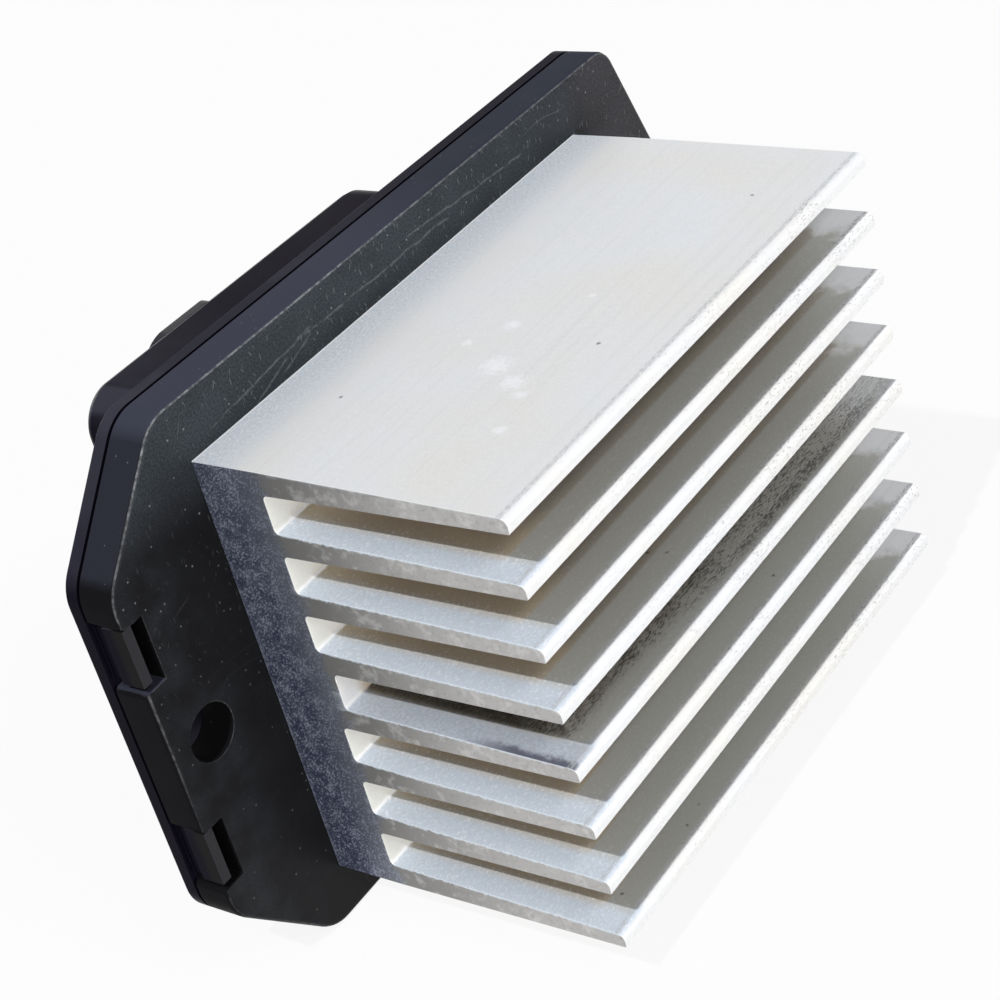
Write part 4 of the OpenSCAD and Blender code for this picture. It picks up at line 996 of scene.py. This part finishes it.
def dress_inside():
    """Gives each CAD node that stays the finish of its own material slot."""
    for row in frame["record"]["subparts"]:
        if row["material_slot"] in INNER_MATERIALS:
            materials = frame["nodes"][row["node"]].data.materials
            materials.clear()
            materials.append(INNER_MATERIALS[row["material_slot"]])


def seen_directly(net):
    """1 for rays from the camera or off a mirror or glass, 0 for rays that only carry light."""
    path = net.add("ShaderNodeLightPath").outputs
    sharp = net.math("MAXIMUM", path["Is Glossy Ray"], path["Is Transmission Ray"])
    return net.math("MAXIMUM", path["Is Camera Ray"], sharp)


def make_floor():
    """A pale floor that looks white and keeps the shadow."""
    shape = bmesh.new()
    bmesh.ops.create_grid(shape, x_segments=1, y_segments=1, size=FLOOR_HALF)
    bmesh.ops.translate(shape, verts=shape.verts[:], vec=(0.0, 0.0, cad_box[0].z))
    mesh = bpy.data.meshes.new("floor")
    shape.to_mesh(mesh)
    shape.free()
    material = bpy.data.materials.new("floor_white")
    material.use_nodes = True
    net = Net(material.node_tree)
    material.node_tree.nodes.remove(material.node_tree.nodes["Principled BSDF"])
    matt = net.add("ShaderNodeBsdfDiffuse")
    matt.inputs["Color"].default_value = FLOOR_COLOUR
    glow = net.add("ShaderNodeEmission")
    mix = net.add("ShaderNodeMixShader")
    net.feed(mix.inputs[0], net.times(seen_directly(net), FLOOR_GLOW))
    net.feed(mix.inputs[1], matt.outputs[0])
    net.feed(mix.inputs[2], glow.outputs[0])
    net.feed(material.node_tree.nodes["Material Output"].inputs["Surface"], mix.outputs[0])
    mesh.materials.append(material)
    floor = bpy.data.objects.new("floor", mesh)
    bpy.context.scene.collection.objects.link(floor)


def hang_lamp(name, kind, power, colour, away):
    """A lamp that shines from the direction away."""
    lamp = bpy.data.lights.new(name, kind)
    lamp.energy = power
    lamp.color = colour
    holder = bpy.data.objects.new(name, lamp)
    holder.rotation_mode = "QUATERNION"
    holder.rotation_quaternion = away.to_track_quat("Z", "Y")
    holder.visible_camera = False
    bpy.context.scene.collection.objects.link(holder)
    return holder


def hang_panel(name, power, place, size):
    """A flat soft lamp, wide and high as size says."""
    panel = hang_lamp(name, "AREA", power, LAMP_COLOUR, place)
    panel.location = place
    panel.data.shape = "RECTANGLE"
    panel.data.size, panel.data.size_y = size


def make_lamps():
    sun = hang_lamp("sun", "SUN", SUN_POWER, SUN_COLOUR, SUN_FROM)
    sun.data.angle = SUN_ANGLE
    hang_panel("low_lamp", LOW_LAMP_POWER, LOW_LAMP_AT, LOW_LAMP_SIZE)
    hang_panel("high_lamp", HIGH_LAMP_POWER, HIGH_LAMP_AT, HIGH_LAMP_SIZE)
    hang_panel("rear_lamp", REAR_LAMP_POWER, REAR_LAMP_AT, REAR_LAMP_SIZE)


def make_sky():
    """Soft light from all round, seen as white."""
    world = bpy.data.worlds.new("studio")
    world.use_nodes = True
    bpy.context.scene.world = world
    net = Net(world.node_tree)
    sky = world.node_tree.nodes["Background"]
    sky.inputs["Color"].default_value = SKY_COLOUR
    sky.inputs["Strength"].default_value = SKY_POWER
    white = net.add("ShaderNodeBackground")
    white.inputs["Color"].default_value = WHITE
    mix = net.add("ShaderNodeMixShader")
    net.feed(mix.inputs[0], seen_directly(net))
    net.feed(mix.inputs[1], sky.outputs[0])
    net.feed(mix.inputs[2], white.outputs[0])
    net.feed(world.node_tree.nodes["World Output"].inputs["Surface"], mix.outputs[0])


def make_camera():
    lens = bpy.data.cameras.new("camera")
    lens.lens = CAMERA_LENS
    lens.clip_start = CAMERA_NEAREST
    camera = bpy.data.objects.new("camera", lens)
    camera.location = CAMERA_AT
    camera.rotation_mode = "QUATERNION"
    level = (CAMERA_AIM - CAMERA_AT).to_track_quat("-Z", "Y")
    camera.rotation_quaternion = level @ Matrix.Rotation(CAMERA_ROLL, 3, "Z").to_quaternion()
    bpy.context.scene.collection.objects.link(camera)
    bpy.context.scene.camera = camera


make_camera()
dress_inside()
make_sink()
make_housing()
make_cover()
make_blades()
make_floor()
make_lamps()
make_sky()
bpy.context.scene.view_settings.view_transform = "Standard"
